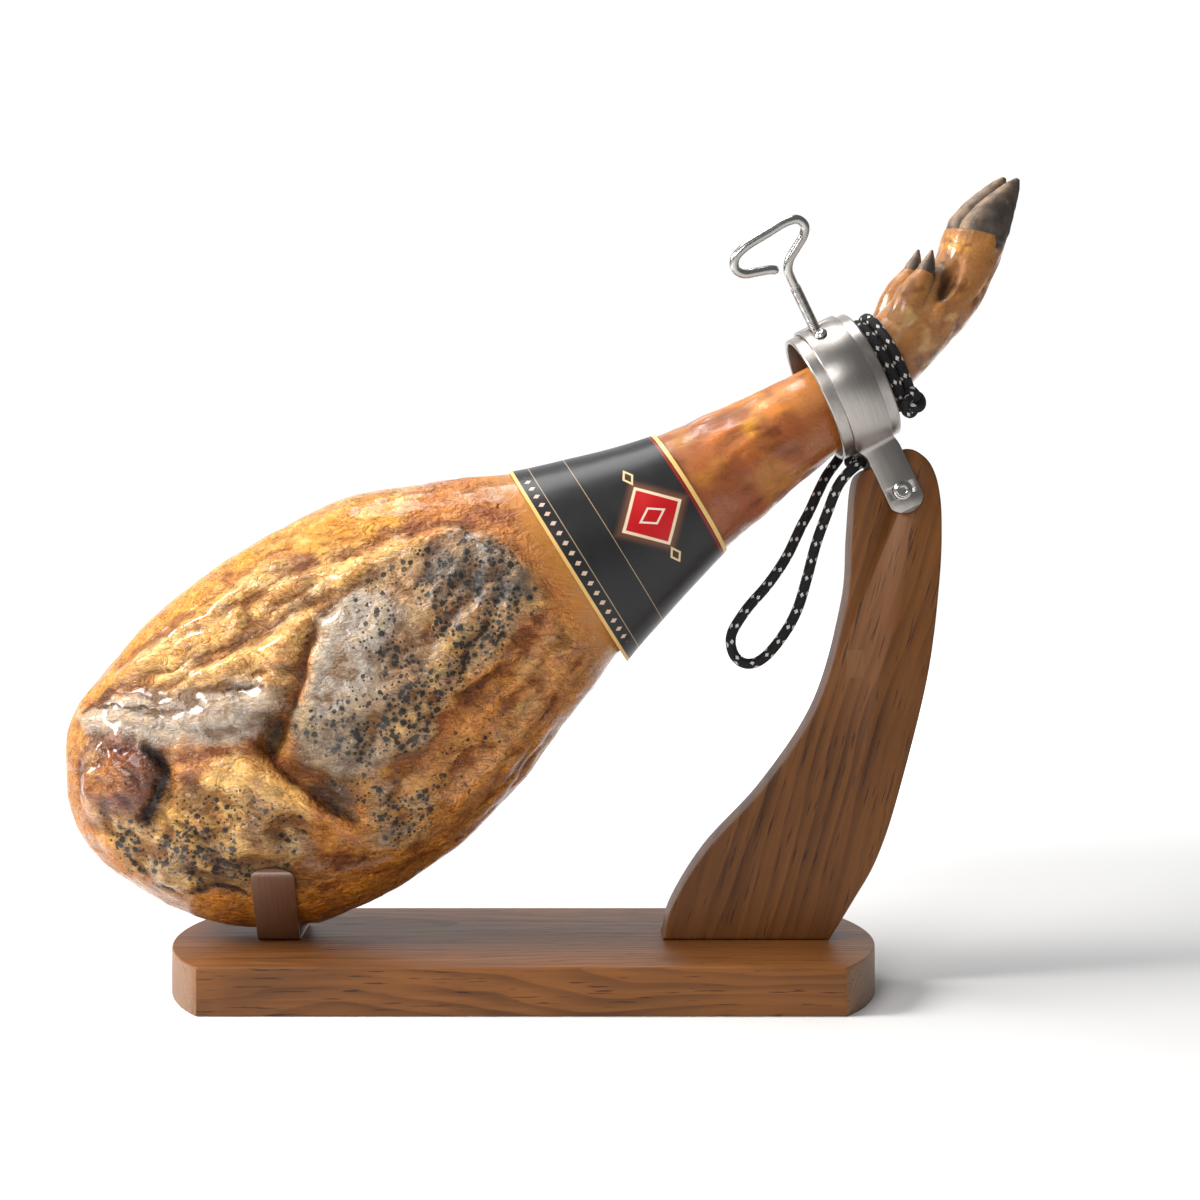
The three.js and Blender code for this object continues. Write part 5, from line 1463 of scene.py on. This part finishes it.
class HAM_OT_rope(bpy.types.Operator):
    """Makes the hanging loop of rope and its turns and knot round the ankle"""
    bl_idname = "ham.rope"
    bl_label = "Rope"

    def execute(self, context):
        look = context.scene.ham_rope
        radius = look.diameter / MM / 2
        finish = rope_material(look)
        route = np.vstack([placed(LEFT_STRAND, HEAD_FRAME), HANGING, placed(RIGHT_STRAND, HEAD_FRAME)])
        path = even_line(route, LINE_STEP)
        loop = make_object("rope_hanging_loop", tube(path, radius, ROPE_SIDES, braided), finish)
        settle(loop, STAND, "cord", "rope_loop")
        turns = np.linspace(0, WRAP["turns"], 400)
        angle = math.radians(WRAP["start"]) + TAU * turns
        run = WRAP["pitch"] * turns
        helix = np.stack([
            WRAP["from"] + run, (WRAP["depth"] - WRAP["taper"] * run) * np.sin(angle),
            WRAP["rise"] + WRAP["climb"] * run - (WRAP["height"] - WRAP["taper"] * run) * np.cos(angle)], 1)
        wound = tube(even_steps(placed(helix, HEAD_FRAME), LINE_STEP), radius, ROPE_SIDES, braided)
        wrap = make_object("rope_turns_and_knot", joined([wound, self.knot(radius)]), finish)
        settle(wrap, STAND, "cord", "rope_wrap")
        return {"FINISHED"}

    @staticmethod
    def knot(radius):
        """A closed overhand knot"""
        angle = np.linspace(0, TAU, 260)
        reach = KNOT["size"] * (2 + np.cos(3 * angle))
        line = np.stack([reach * np.cos(2 * angle) * 0.8, KNOT["size"] * KNOT["depth"] * np.sin(3 * angle),
                         reach * np.sin(2 * angle)], 1)
        line = placed(line, HEAD_FRAME @ turn_y(KNOT["lean"], KNOT["at"]))
        return tube(even_steps(line, LINE_STEP), radius - 0.2, 22, braided, round_ends=False)


# The ham's mesh: its rows and columns, which sections each share of the rows reaches, and how much
# closer the columns lie on the front
HAM_ROWS, HAM_COLUMNS = 300, 300
ROW_SHARES = (0, 0.16, 0.60, 0.72, 0.80, 1)
ROW_SECTIONS = (0, 4, 12.4, 15.2, 18)
CLOSER_FRONT = 0.42


def ham_rings(rows, columns):
    """Rings of the whole ham, closer on the butt and on the front, and the outward direction at each point.
    """
    places = np.interp(np.linspace(0, 1, rows), ROW_SHARES, [*ROW_SECTIONS, len(HAM_SECTIONS) - 1])
    turn = full_turn(columns)
    turn = turn + CLOSER_FRONT * np.cos(turn)
    sections = sections_at(HAM_SECTIONS, places)
    rings = rims(sections, turn)
    outward = rings - sections[:, None, :3]
    outward /= np.maximum(np.linalg.norm(outward, axis=2), TINY)[:, :, None]
    return rings, outward


def form_rise(points, facing):
    reach = leg_reach(points)
    cover = 1 - smooth(reach, -275, -234) * (1 - smooth(reach, -60, 0))
    rise = 0
    for side, at, long, wide, turn, height in FORMS:
        form = oval(points[..., 0], points[..., 2], at, long, wide, turn)
        rise = rise + height * np.maximum(0, side * facing) * form
    return rise * cover


def ring_normals(rings):
    down = np.gradient(rings, axis=0)
    across = np.roll(rings, -1, axis=1) - np.roll(rings, 1, axis=1)
    normal = np.cross(across, down)
    normal /= np.maximum(np.linalg.norm(normal, axis=2), TINY)[:, :, None]
    centre = rings.mean(axis=1, keepdims=True)
    inward = np.einsum("rcx,rcx->", normal, rings - centre) < 0
    return -normal if inward else normal


class HAM_OT_ham(bpy.types.Operator):
    """Makes the ham: butt, shank, trotter and the lobes under the dewclaws"""
    bl_idname = "ham.ham"
    bl_label = "Ham"

    def execute(self, context):
        look = context.scene.ham_skin
        rings, outward = ham_rings(HAM_ROWS, HAM_COLUMNS)
        rings = rings + outward * form_rise(rings, outward[..., 1])[:, :, None]
        normal = ring_normals(rings)
        flat = rings.reshape(-1, 3)
        relief = ham_relief(flat, look.relief).reshape(rings.shape[:2])
        body = skin(rings + normal * relief[:, :, None])
        # How far each point lies below or above its neighbours, from which the skin's shader paints shade
        # into the hollows and highlight onto the ridges
        hollow = np.clip((blurred(relief, 4) - relief) / 0.9, -1, 1)
        shapes = [body]
        for shift in ((0, 0, 0), FAR_LOBE):
            rows = sections_at(shifted(LOBE, shift), np.linspace(0, len(LOBE) - 1, 40))
            turn = full_turn(40)
            lobe = rims(rows, turn)
            swell = rough(lobe.reshape(-1, 3), 7, 401, 2).reshape(lobe.shape[:2])
            lobe = lobe + (lobe - rows[:, None, :3]) * 0.035 * swell[:, :, None]
            shapes.append(skin(lobe))
        whole = joined(shapes)
        ham = make_object("ham_skin_and_meat", whole, ham_material(look), sharp=80)
        pits = np.zeros(len(whole.points))
        pits[:hollow.size] = hollow.ravel()
        calm = smooth(leg_reach(whole.points), -262, -232)
        names = ("tone", "spots", "crease", "film", "gloss", "hollow", "calm")
        for name, values in zip(names, (*ham_fields(whole.points), pits, calm)):
            add_field(ham, name, values)
        settle(ham, STAND, "ham", "ham")
        return {"FINISHED"}


class HAM_OT_horns(bpy.types.Operator):
    """Makes the two claws and the two dewclaws"""
    bl_idname = "ham.horns"
    bl_label = "Claws"

    def execute(self, context):
        finish = horn_material()
        pieces = (
            ("claw_near", CLAW, (0, 0, 0), 70), ("claw_far", CLAW, FAR_CLAW, 70),
            ("dewclaw_near", DEWCLAW, (0, 0, 0), 36), ("dewclaw_far", DEWCLAW, FAR_LOBE, 36))
        sides = 48
        turn = full_turn(sides)
        for node, sections, shift, rows in pieces:
            places = np.linspace(0, 1, rows)
            table = sections_at(shifted(sections, shift), places * (len(sections) - 1))
            rings = rims(table, turn)
            ripple = np.sin(places * 46 + 1.2 * np.sin(places * 9))[:, None] * 0.010
            grooves = rough(rings.reshape(-1, 3) * (1, 1, 0.35), 3.5, 411, 2).reshape(rings.shape[:2]) * 0.012
            rings = rings + (rings - table[:, None, :3]) * (ripple + grooves)[:, :, None]
            horn = make_object(node + "_horn", skin(rings), finish, sharp=60)
            tip = np.append(np.repeat(places, sides), [0, 1])
            upper = np.append(np.tile(smooth(-np.cos(turn), 0.1, 0.95), rows), [0.3, 0.3])
            add_field(horn, "tip", smooth(tip, 0.45, 1.0))
            add_field(horn, "upper", upper)
            settle(horn, STAND, "horn", node)
        return {"FINISHED"}


class HAM_OT_sleeve(bpy.types.Operator):
    """Makes the paper sleeve round the shank"""
    bl_idname = "ham.sleeve"
    bl_label = "Paper sleeve"

    def execute(self, context):
        rows, columns = 70, 220
        share = np.linspace(0, 1, rows)
        table = sections_at(HAM_SECTIONS, SLEEVE["first"] + (SLEEVE["last"] - SLEEVE["first"]) * share)
        turn = full_turn(columns) - 1.5 * math.pi
        droop = SLEEVE["droop"] * (1 - share)[:, None] * np.maximum(0, np.cos(turn))[None, :] ** 3
        layers = []
        for grow in (SLEEVE["clearance"], SLEEVE["clearance"] + SLEEVE["thickness"]):
            layers.append(rims(table, turn, grow + droop))
        wave = rough(layers[1].reshape(-1, 3), 30, 421, 2).reshape(rows, columns)[:, :, None] * 0.25
        away = layers[1] - table[:, None, :3]
        away /= np.linalg.norm(away, axis=2)[:, :, None]
        layers[1] = layers[1] + away * np.abs(wave)
        outer = layers[1]
        step = np.linalg.norm(np.roll(outer, -1, axis=1) - outer, axis=2)
        run = np.concatenate([np.zeros((rows, 1)), np.cumsum(step, axis=1)], axis=1)
        front = columns // 2
        around = run - run[:, front][:, None]
        length = SLEEVE["to"] - SLEEVE["from"]
        rings = np.vstack([outer, layers[0][::-1]])
        shape = skin(rings, around=np.vstack([around, around[::-1]]),
                     along=np.concatenate([share * length, share[::-1] * length]), loop=True)
        sleeve = make_object("label_paper_sleeve", shape, label_material(), sharp=50)
        settle(sleeve, STAND, "label", "label_sleeve")
        return {"FINISHED"}


def slab(outline, low, high, easing, axis):
    """An outline as a slab between two heights, with rounded edges. axis 2 is Z, 1 is Y."""
    outline = np.asarray(outline, float)
    before, after = np.roll(outline, 1, axis=0), np.roll(outline, -1, axis=0)
    run = after - before
    run /= np.maximum(np.linalg.norm(run, axis=1), TINY)[:, None]
    inward = np.stack([-run[:, 1], run[:, 0]], axis=1)
    area = np.sum(outline[:, 0] * after[:, 1] - after[:, 0] * outline[:, 1])
    inward = inward if area > 0 else -inward
    rings = []
    quarter = np.linspace(0, math.pi / 2, 5)
    levels = [(low + easing * (1 - math.sin(t)), easing * (1 - math.cos(t))) for t in quarter[::-1]]
    levels += [(high - easing * (1 - math.sin(t)), easing * (1 - math.cos(t))) for t in quarter]
    for height, inset in levels:
        flat = outline + inward * inset
        level = np.full(len(flat), height)
        columns = (flat[:, 0], flat[:, 1], level) if axis == 2 else (flat[:, 0], level, flat[:, 1])
        rings.append(np.stack(columns, axis=1))
    return skin(rings, flat_ends=True)


class HAM_OT_board(bpy.types.Operator):
    """Makes the board of stained pine"""
    bl_idname = "ham.board"
    bl_label = "Board"

    def execute(self, context):
        look = context.scene.ham_wood
        finish = wood_material("board_pine", 0.0, (0.055, -0.075), look.ring_width, tuple(look.dark),
                               tuple(look.light))
        half, reach, flat = BOARD["depth"] / 2, BOARD["length"] / 2, BOARD["front"] / 2
        rise = reach - flat
        radius = (half * half + rise * rise) / (2 * rise)
        turn = math.degrees(math.asin(half / radius))
        right = arc(reach - radius, 0, radius, -turn, turn, 48)
        left = arc(radius - reach, 0, radius, 180 - turn, 180 + turn, 48)
        outline = soft_corners(right, left, 2.0)
        shape = slab(outline, 0, BOARD["thickness"], look.easing / MM, axis=2)
        board = make_object("base_board_pine", shape, finish)
        settle(board, STAND, "stained_wood", "base_board")
        return {"FINISHED"}


def soft_corners(right, left, reach):
    """Both curved ends with their corners to the straight sides a little rounded, as one outline."""
    out = []
    for side, other in ((right, left), (left, right)):
        start, end = side[0], side[-1]
        along = np.array([np.sign(end[0]) * -1.0, 0.0])
        out.append(start + along * reach)
        out.append(start + along * reach * 0.35 + (side[1] - start) * 0.06)
        out += list(side[1:-1])
        out.append(end + along * reach * 0.35 + (side[-2] - end) * 0.06)
        out.append(end + along * reach)
    return np.array(out)


def bolt_place():
    """The middle of the pivot bolt."""
    middle = placed([(BOLT["along"], 0, -BOLT["drop"])], HEAD_FRAME)[0]
    return Matrix.Translation((middle[0], 0, middle[2]))


def bolt_hole():
    """A cutter for the pivot bolt's hole, longer than any piece is thick."""
    radius, half = BOLT["radius"] + GAP, 40
    return lathe([(0, -half), (radius, -half), (radius, half), (0, half)], 40)


class HAM_OT_upright(bpy.types.Operator):
    """Makes the curved upright of stained pine"""
    bl_idname = "ham.upright"
    bl_label = "Upright"

    def execute(self, context):
        look = context.scene.ham_wood
        finish = wood_material("upright_pine", 74.0, (0.006, -0.36), look.ring_width * 1.9, tuple(look.dark),
                               shade(look.light, 0.82), plug=True)
        edge = spline(UPRIGHT_EDGE, np.linspace(0, 1, 190))
        base = BOARD["thickness"] + GAP
        edge[:, 1] = np.maximum(edge[:, 1], base)
        half = UPRIGHT_THICKNESS / 2
        shape = slab(edge, -half, half, look.easing / MM, axis=1)
        shape.points[:, 2] = np.maximum(shape.points[:, 2], base)
        upright = make_object("upright_pine", shape, finish)
        cut_with(upright, bolt_hole().moved(bolt_place() @ turn_x(90)))
        settle(upright, STAND, "stained_wood", "upright")
        return {"FINISHED"}


class HAM_OT_cradle(bpy.types.Operator):
    """Makes the bent steel cradle and its two studs"""
    bl_idname = "ham.cradle"
    bl_label = "Cradle"

    def execute(self, context):
        look = context.scene.ham_steel
        finish = steel_material("cradle_satin_steel", tuple(look.cradle_tint), 0.34, along_u=True, stain=0.4)
        line = np.vstack([self.arm(CRADLE["front"], -1)[::-1], self.arm(CRADLE["back"], 1)])
        near_top = np.clip((line[:, 1] - (CRADLE["height"] - 8)) / 8, 0, 1)
        half = CRADLE["width"] / 2 * (1 - near_top ** 2.6) ** (1 / 2.4)
        cradle = make_object("cradle_bent_steel", ribbon(line, half, CRADLE["thickness"]), finish)
        cradle.data.transform(Matrix.Translation((CRADLE["x"] * MM, 0, 0)))
        settle(cradle, STAND, "cradle_steel", "cradle_bracket")
        shiny = steel_material("stud_polished_steel", POLISHED, 0.16, brushed=False)
        reach = (CRADLE["height"] - BOARD["thickness"]) * math.tan(math.radians(CRADLE["lean"]))
        radius = CRADLE["stud"]
        for node, side in (("cradle_stud_front", -1), ("cradle_stud_back", 1)):
            tip_y = CRADLE["front"] - reach if side < 0 else CRADLE["back"] + reach
            stud = lathe([(0, 0), (radius, 0), (radius, 5), (0.6, 11), (0, 11)], 40, round_edges=0.6)
            where = Matrix.Translation((CRADLE["x"] + 1, tip_y - side * 1.4, CRADLE["height"] - 0.6))
            pin = make_object(node + "_pin", stud.moved(where @ turn_x(side * 90)), shiny)
            settle(pin, STAND, "polished_steel", node)
        return {"FINISHED"}

    @staticmethod
    def arm(bend_y, side):
        """The middle line of one arm, from its bend at the board up to its tip"""
        centre = BOARD["thickness"] + GAP + CRADLE["thickness"] / 2
        bend, lean = CRADLE["bend"], math.radians(CRADLE["lean"])
        end = -CRADLE["lean"] if side > 0 else -180 + CRADLE["lean"]
        curve = arc(bend_y, centre + bend, bend, -90, end, 12)
        foot_y, foot_z = curve[-1]
        length = (CRADLE["height"] - foot_z) / math.cos(lean)
        steps = np.concatenate([np.linspace(0.04, 0.84, 14), 1 - 0.16 * (1 - np.linspace(0, 1, 18)) ** 1.6])
        straight = np.stack([foot_y + side * length * math.sin(lean) * steps,
                             foot_z + length * math.cos(lean) * steps], 1)
        return np.vstack([curve, straight])


def screw_hole():
    """A cutter for the clamp screw's hole through the ring and the strap."""
    radius = SCREW["radius"] + GAP
    return lathe([(0, -18), (radius, -18), (radius, 10), (0, 10)], 48).moved(SCREW_FRAME)


class HAM_OT_ring(bpy.types.Operator):
    """Makes the clamp ring and the strap round it"""
    bl_idname = "ham.ring"
    bl_label = "Clamp ring"

    def execute(self, context):
        look = context.scene.ham_steel
        finish = steel_material("ring_brushed_steel", tuple(look.tint), look.roughness)
        half, wall = RING["length"] / 2, RING["wall"]
        profile = np.vstack([
            arc(RING["inner"] + wall / 2, half - wall / 2, wall / 2, 0, 180, 10),
            arc(RING["inner"] + wall / 2, wall / 2 - half, wall / 2, 180, 360, 10)])
        sides = 160
        turn = full_turn(sides)
        rings = [np.stack([np.full(sides, along), radius * np.sin(turn), radius * np.cos(turn)], 1)
                 for radius, along in profile]
        around = np.linspace(0, TAU * RING["inner"], sides + 1)
        shape = skin(rings, around=around, along=run_of(profile), loop=True)
        ring = make_object("clamp_ring_brushed", shape.moved(HEAD_FRAME), finish)
        cut_with(ring, screw_hole())
        settle(ring, STAND, "ring_steel", "clamp_ring")
        finish = steel_material("strap_brushed_steel", tuple(look.tint), look.roughness, along_u=True)
        strap = make_object("clamp_strap_brushed", self.strap().moved(HEAD_FRAME), finish)
        cut_with(strap, screw_hole())
        where = HEAD_FRAME @ Matrix.Translation((BOLT["along"], 0, -BOLT["drop"]))
        cut_with(strap, bolt_hole().moved(where @ turn_x(90)))
        settle(strap, STAND, "ring_steel", "clamp_strap")
        return {"FINISHED"}

    @staticmethod
    def strap():
        """The band once round the ring, with its two ears, in the ring's frame"""
        radius = (STRAP["inner"] + STRAP["outer"]) / 2
        thickness = STRAP["outer"] - STRAP["inner"]
        ear = STRAP["ear_face"] + thickness / 2
        fillet_y = ear + STRAP["fillet"]
        fillet_z = -math.sqrt((radius + STRAP["fillet"]) ** 2 - fillet_y ** 2)
        meet = math.degrees(math.atan2(fillet_z, fillet_y))
        end, bow = STRAP["ear_length"], STRAP["end_radius"]
        lower = (end - bow + bow * np.sin(np.linspace(0, math.pi / 2, 16)))[::-1]
        straight = np.linspace(end - bow - 2, -fillet_z + 0.5, 24)
        heights = -np.concatenate([lower, straight])
        side = np.stack([np.full(len(heights), ear), heights], 1)
        line = np.vstack([
            side,
            arc(fillet_y, fillet_z, STRAP["fillet"], 180, 180 + meet, 10),
            arc(0, 0, radius, meet, 180 - meet, 110),
            arc(-fillet_y, fillet_z, STRAP["fillet"], -meet, 0, 10),
            (side * (-1, 1))[::-1]])
        height = line[:, 1]
        band, narrow, middle = STRAP["band"] / 2, STRAP["ear"] / 2, BOLT["along"]
        taper = smooth(-height, 41, 53)
        left = -band * (1 - taper) + (middle - narrow) * taper
        right = band * (1 - taper) + (middle + narrow) * taper
        bow_centre = -end + bow
        reach = np.sqrt(np.clip(bow ** 2 - np.clip(bow_centre - height, 0, None) ** 2, 0.01, None))
        rounded_end = np.minimum(narrow, reach)
        left = np.where(height < bow_centre, middle - rounded_end, left)
        right = np.where(height < bow_centre, middle + rounded_end, right)
        return ribbon(line, (right - left) / 2, thickness, (right + left) / 2)


class HAM_OT_fasteners(bpy.types.Operator):
    """Makes the pivot bolt, its nut and the button beside the screw"""
    bl_idname = "ham.fasteners"
    bl_label = "Fasteners"

    def execute(self, context):
        shiny = steel_material("fastener_polished_steel", POLISHED, 0.17, brushed=False)
        there = bolt_place()
        face = STRAP["ear_face"] + STRAP["outer"] - STRAP["inner"] + GAP
        end = face + NUT["height"] + 2
        top = -face - BOLT["head_height"]
        socket, head, radius = BOLT["socket"], BOLT["head"], BOLT["radius"]
        profile = [
            (0, top + 2.2), (socket, top + 2.2), (socket, top), (4.4, top), (5.0, top + 0.7),
            (5.5, top + 1.7),
            (head, top + 1.9), (head, -face), (radius, -face), (radius, end - 0.8), (radius - 0.8, end),
            (0, end)]
        bolt = lathe(profile, 48, round_edges=0.35).moved(there @ turn_x(-90))
        settle(make_object("pivot_bolt_steel", bolt, shiny), STAND, "polished_steel", "pivot_bolt")
        behind = Matrix.Translation((0, face + NUT["height"] / 2, 0))
        nut = make_object("pivot_nut_steel", self.nut().moved(there @ behind @ turn_x(-90)), shiny)
        settle(nut, STAND, "polished_steel", "pivot_nut")
        radius, height = BUTTON["radius"], BUTTON["height"]
        dome = [(0, 0), (radius, 0), (radius, 0.7), (radius * 0.92, height * 0.48),
                (radius * 0.72, height * 0.8), (radius * 0.45, height * 0.97), (0, height)]
        lift = Matrix.Translation((BUTTON["along"], 0, STRAP["outer"] + GAP + 0.25))
        where = HEAD_FRAME @ turn_x(BUTTON["turn"]) @ lift
        button = make_object("strap_button_steel", lathe(dome, 48, round_edges=0.3).moved(where), shiny)
        slot_outline = np.array([(-0.55, -6), (0.55, -6), (0.55, 6), (-0.55, 6)], float)
        cut_with(button, slab(slot_outline, height - 0.8, height + 0.8, 0.05, axis=2).moved(where))
        settle(button, STAND, "polished_steel", "strap_button")
        return {"FINISHED"}

    @staticmethod
    def nut():
        """A six-sided nut with its corners chamfered and a clear bore"""
        sides = 72
        turn = full_turn(sides)
        inner = NUT["flats"] / 2
        fold = (turn - math.radians(10)) % (TAU / 6) - TAU / 12
        flats = inner / np.cos(fold)
        half = NUT["height"] / 2
        bore = BOLT["radius"] + GAP
        below = [(bore, -half + 0.6), (bore + 0.6, -half), (inner, -half), (inner + 0.7, -half + 0.5),
                 (FAR, -half + 0.9)]
        above = [(radius, -height) for radius, height in below[::-1]]
        return skin([flat_ring(np.minimum(flats, radius), turn, height) for radius, height in below + above],
                    loop=True)


class HAM_OT_screw(bpy.types.Operator):
    """Makes the clamp screw with its thread and bent handle, and its foot"""
    bl_idname = "ham.screw"
    bl_label = "Clamp screw"

    def execute(self, context):
        finish = steel_material("screw_polished_steel", (0.55, 0.54, 0.52), 0.22, brushed=False, stain=0.08)
        core = SCREW["radius"] - THREAD["depth"]
        tip, out = -SCREW["tip"], SCREW["out"]
        rod = SCREW["rod"]
        profile = [(0, tip), (core - 0.6, tip), (core, tip + 0.8), (core, out - 1), (rod, out),
                   (rod - 0.5, out + 1.5), (0, out + 1.5)]
        handle = tube(even_line([(across, 0, out + up) for across, up in HANDLE], LINE_STEP), rod, 28)
        shape = joined([lathe(profile, 40, round_edges=0.2), handle])
        body = make_object("clamp_screw_steel", shape.moved(SCREW_FRAME), finish, sharp=40)
        turns = (out - tip - 2.4) / SCREW["pitch"]
        share = np.linspace(0, 1, int(turns * THREAD["steps"]))
        angle = TAU * turns * share
        mean = core + THREAD["middle"]
        helix = np.stack([mean * np.cos(angle), mean * np.sin(angle),
                          tip + 1.0 + turns * SCREW["pitch"] * share], 1)
        helix = placed(helix, SCREW_FRAME)
        merge([body, swept_object("thread", helix, THREAD["ridge"], THREAD["sides"], finish)])
        settle(body, "screw", "polished_steel", "clamp_screw")
        bottom = tip - GAP - (FOOT["boss_height"] - FOOT["socket"])
        plate, top = bottom + FOOT["thickness"], bottom + FOOT["boss_height"]
        socket, floor = SCREW["radius"] + GAP + 0.1, top - FOOT["socket"]
        radius, boss = FOOT["radius"], FOOT["boss"]
        profile = [(0, bottom), (radius - 0.8, bottom), (radius, bottom + 0.8), (radius, plate),
                   (boss, plate), (boss, top), (socket, top), (socket, floor), (0, floor)]
        brushed = steel_material("foot_brushed_steel", tuple(context.scene.ham_steel.tint), 0.3)
        shape = lathe(profile, 48, round_edges=0.4).moved(SCREW_FRAME)
        foot = make_object("screw_foot_steel", shape, brushed)
        settle(foot, "pressure_foot", "ring_steel", "screw_foot")
        return {"FINISHED"}


class HAM_PT_panel(bpy.types.Panel):
    """Lists the pieces and what can be changed"""
    bl_label = "Ham Stand"
    bl_idname = "HAM_PT_panel"
    bl_space_type = "VIEW_3D"
    bl_region_type = "UI"
    bl_category = "Ham Stand"

    def draw(self, context):
        for pointer, group in GROUPS:
            box = self.layout.box()
            for name in group.__annotations__:
                box.prop(getattr(context.scene, pointer), name)
        for operator in OPERATORS:
            self.layout.operator(operator.bl_idname)


GROUPS = (("ham_skin", HamLook), ("ham_wood", WoodLook), ("ham_steel", SteelLook), ("ham_rope", RopeLook),
          ("ham_stage", StageLook))
OPERATORS = (HAM_OT_stage, HAM_OT_rope, HAM_OT_ham, HAM_OT_horns, HAM_OT_sleeve, HAM_OT_board, HAM_OT_upright,
             HAM_OT_cradle, HAM_OT_ring, HAM_OT_fasteners, HAM_OT_screw)


def register():
    for pointer, group in GROUPS:
        bpy.utils.register_class(group)
        setattr(bpy.types.Scene, pointer, bpy.props.PointerProperty(type=group))
    for item in (*OPERATORS, HAM_PT_panel):
        bpy.utils.register_class(item)


def unregister():
    for item in (HAM_PT_panel, *OPERATORS[::-1]):
        bpy.utils.unregister_class(item)
    for pointer, group in GROUPS[::-1]:
        delattr(bpy.types.Scene, pointer)
        bpy.utils.unregister_class(group)


def main():
    register()
    for operator in OPERATORS:
        group, name = operator.bl_idname.split(".")
        getattr(getattr(bpy.ops, group), name)()


if __name__ == "__main__":
    main()
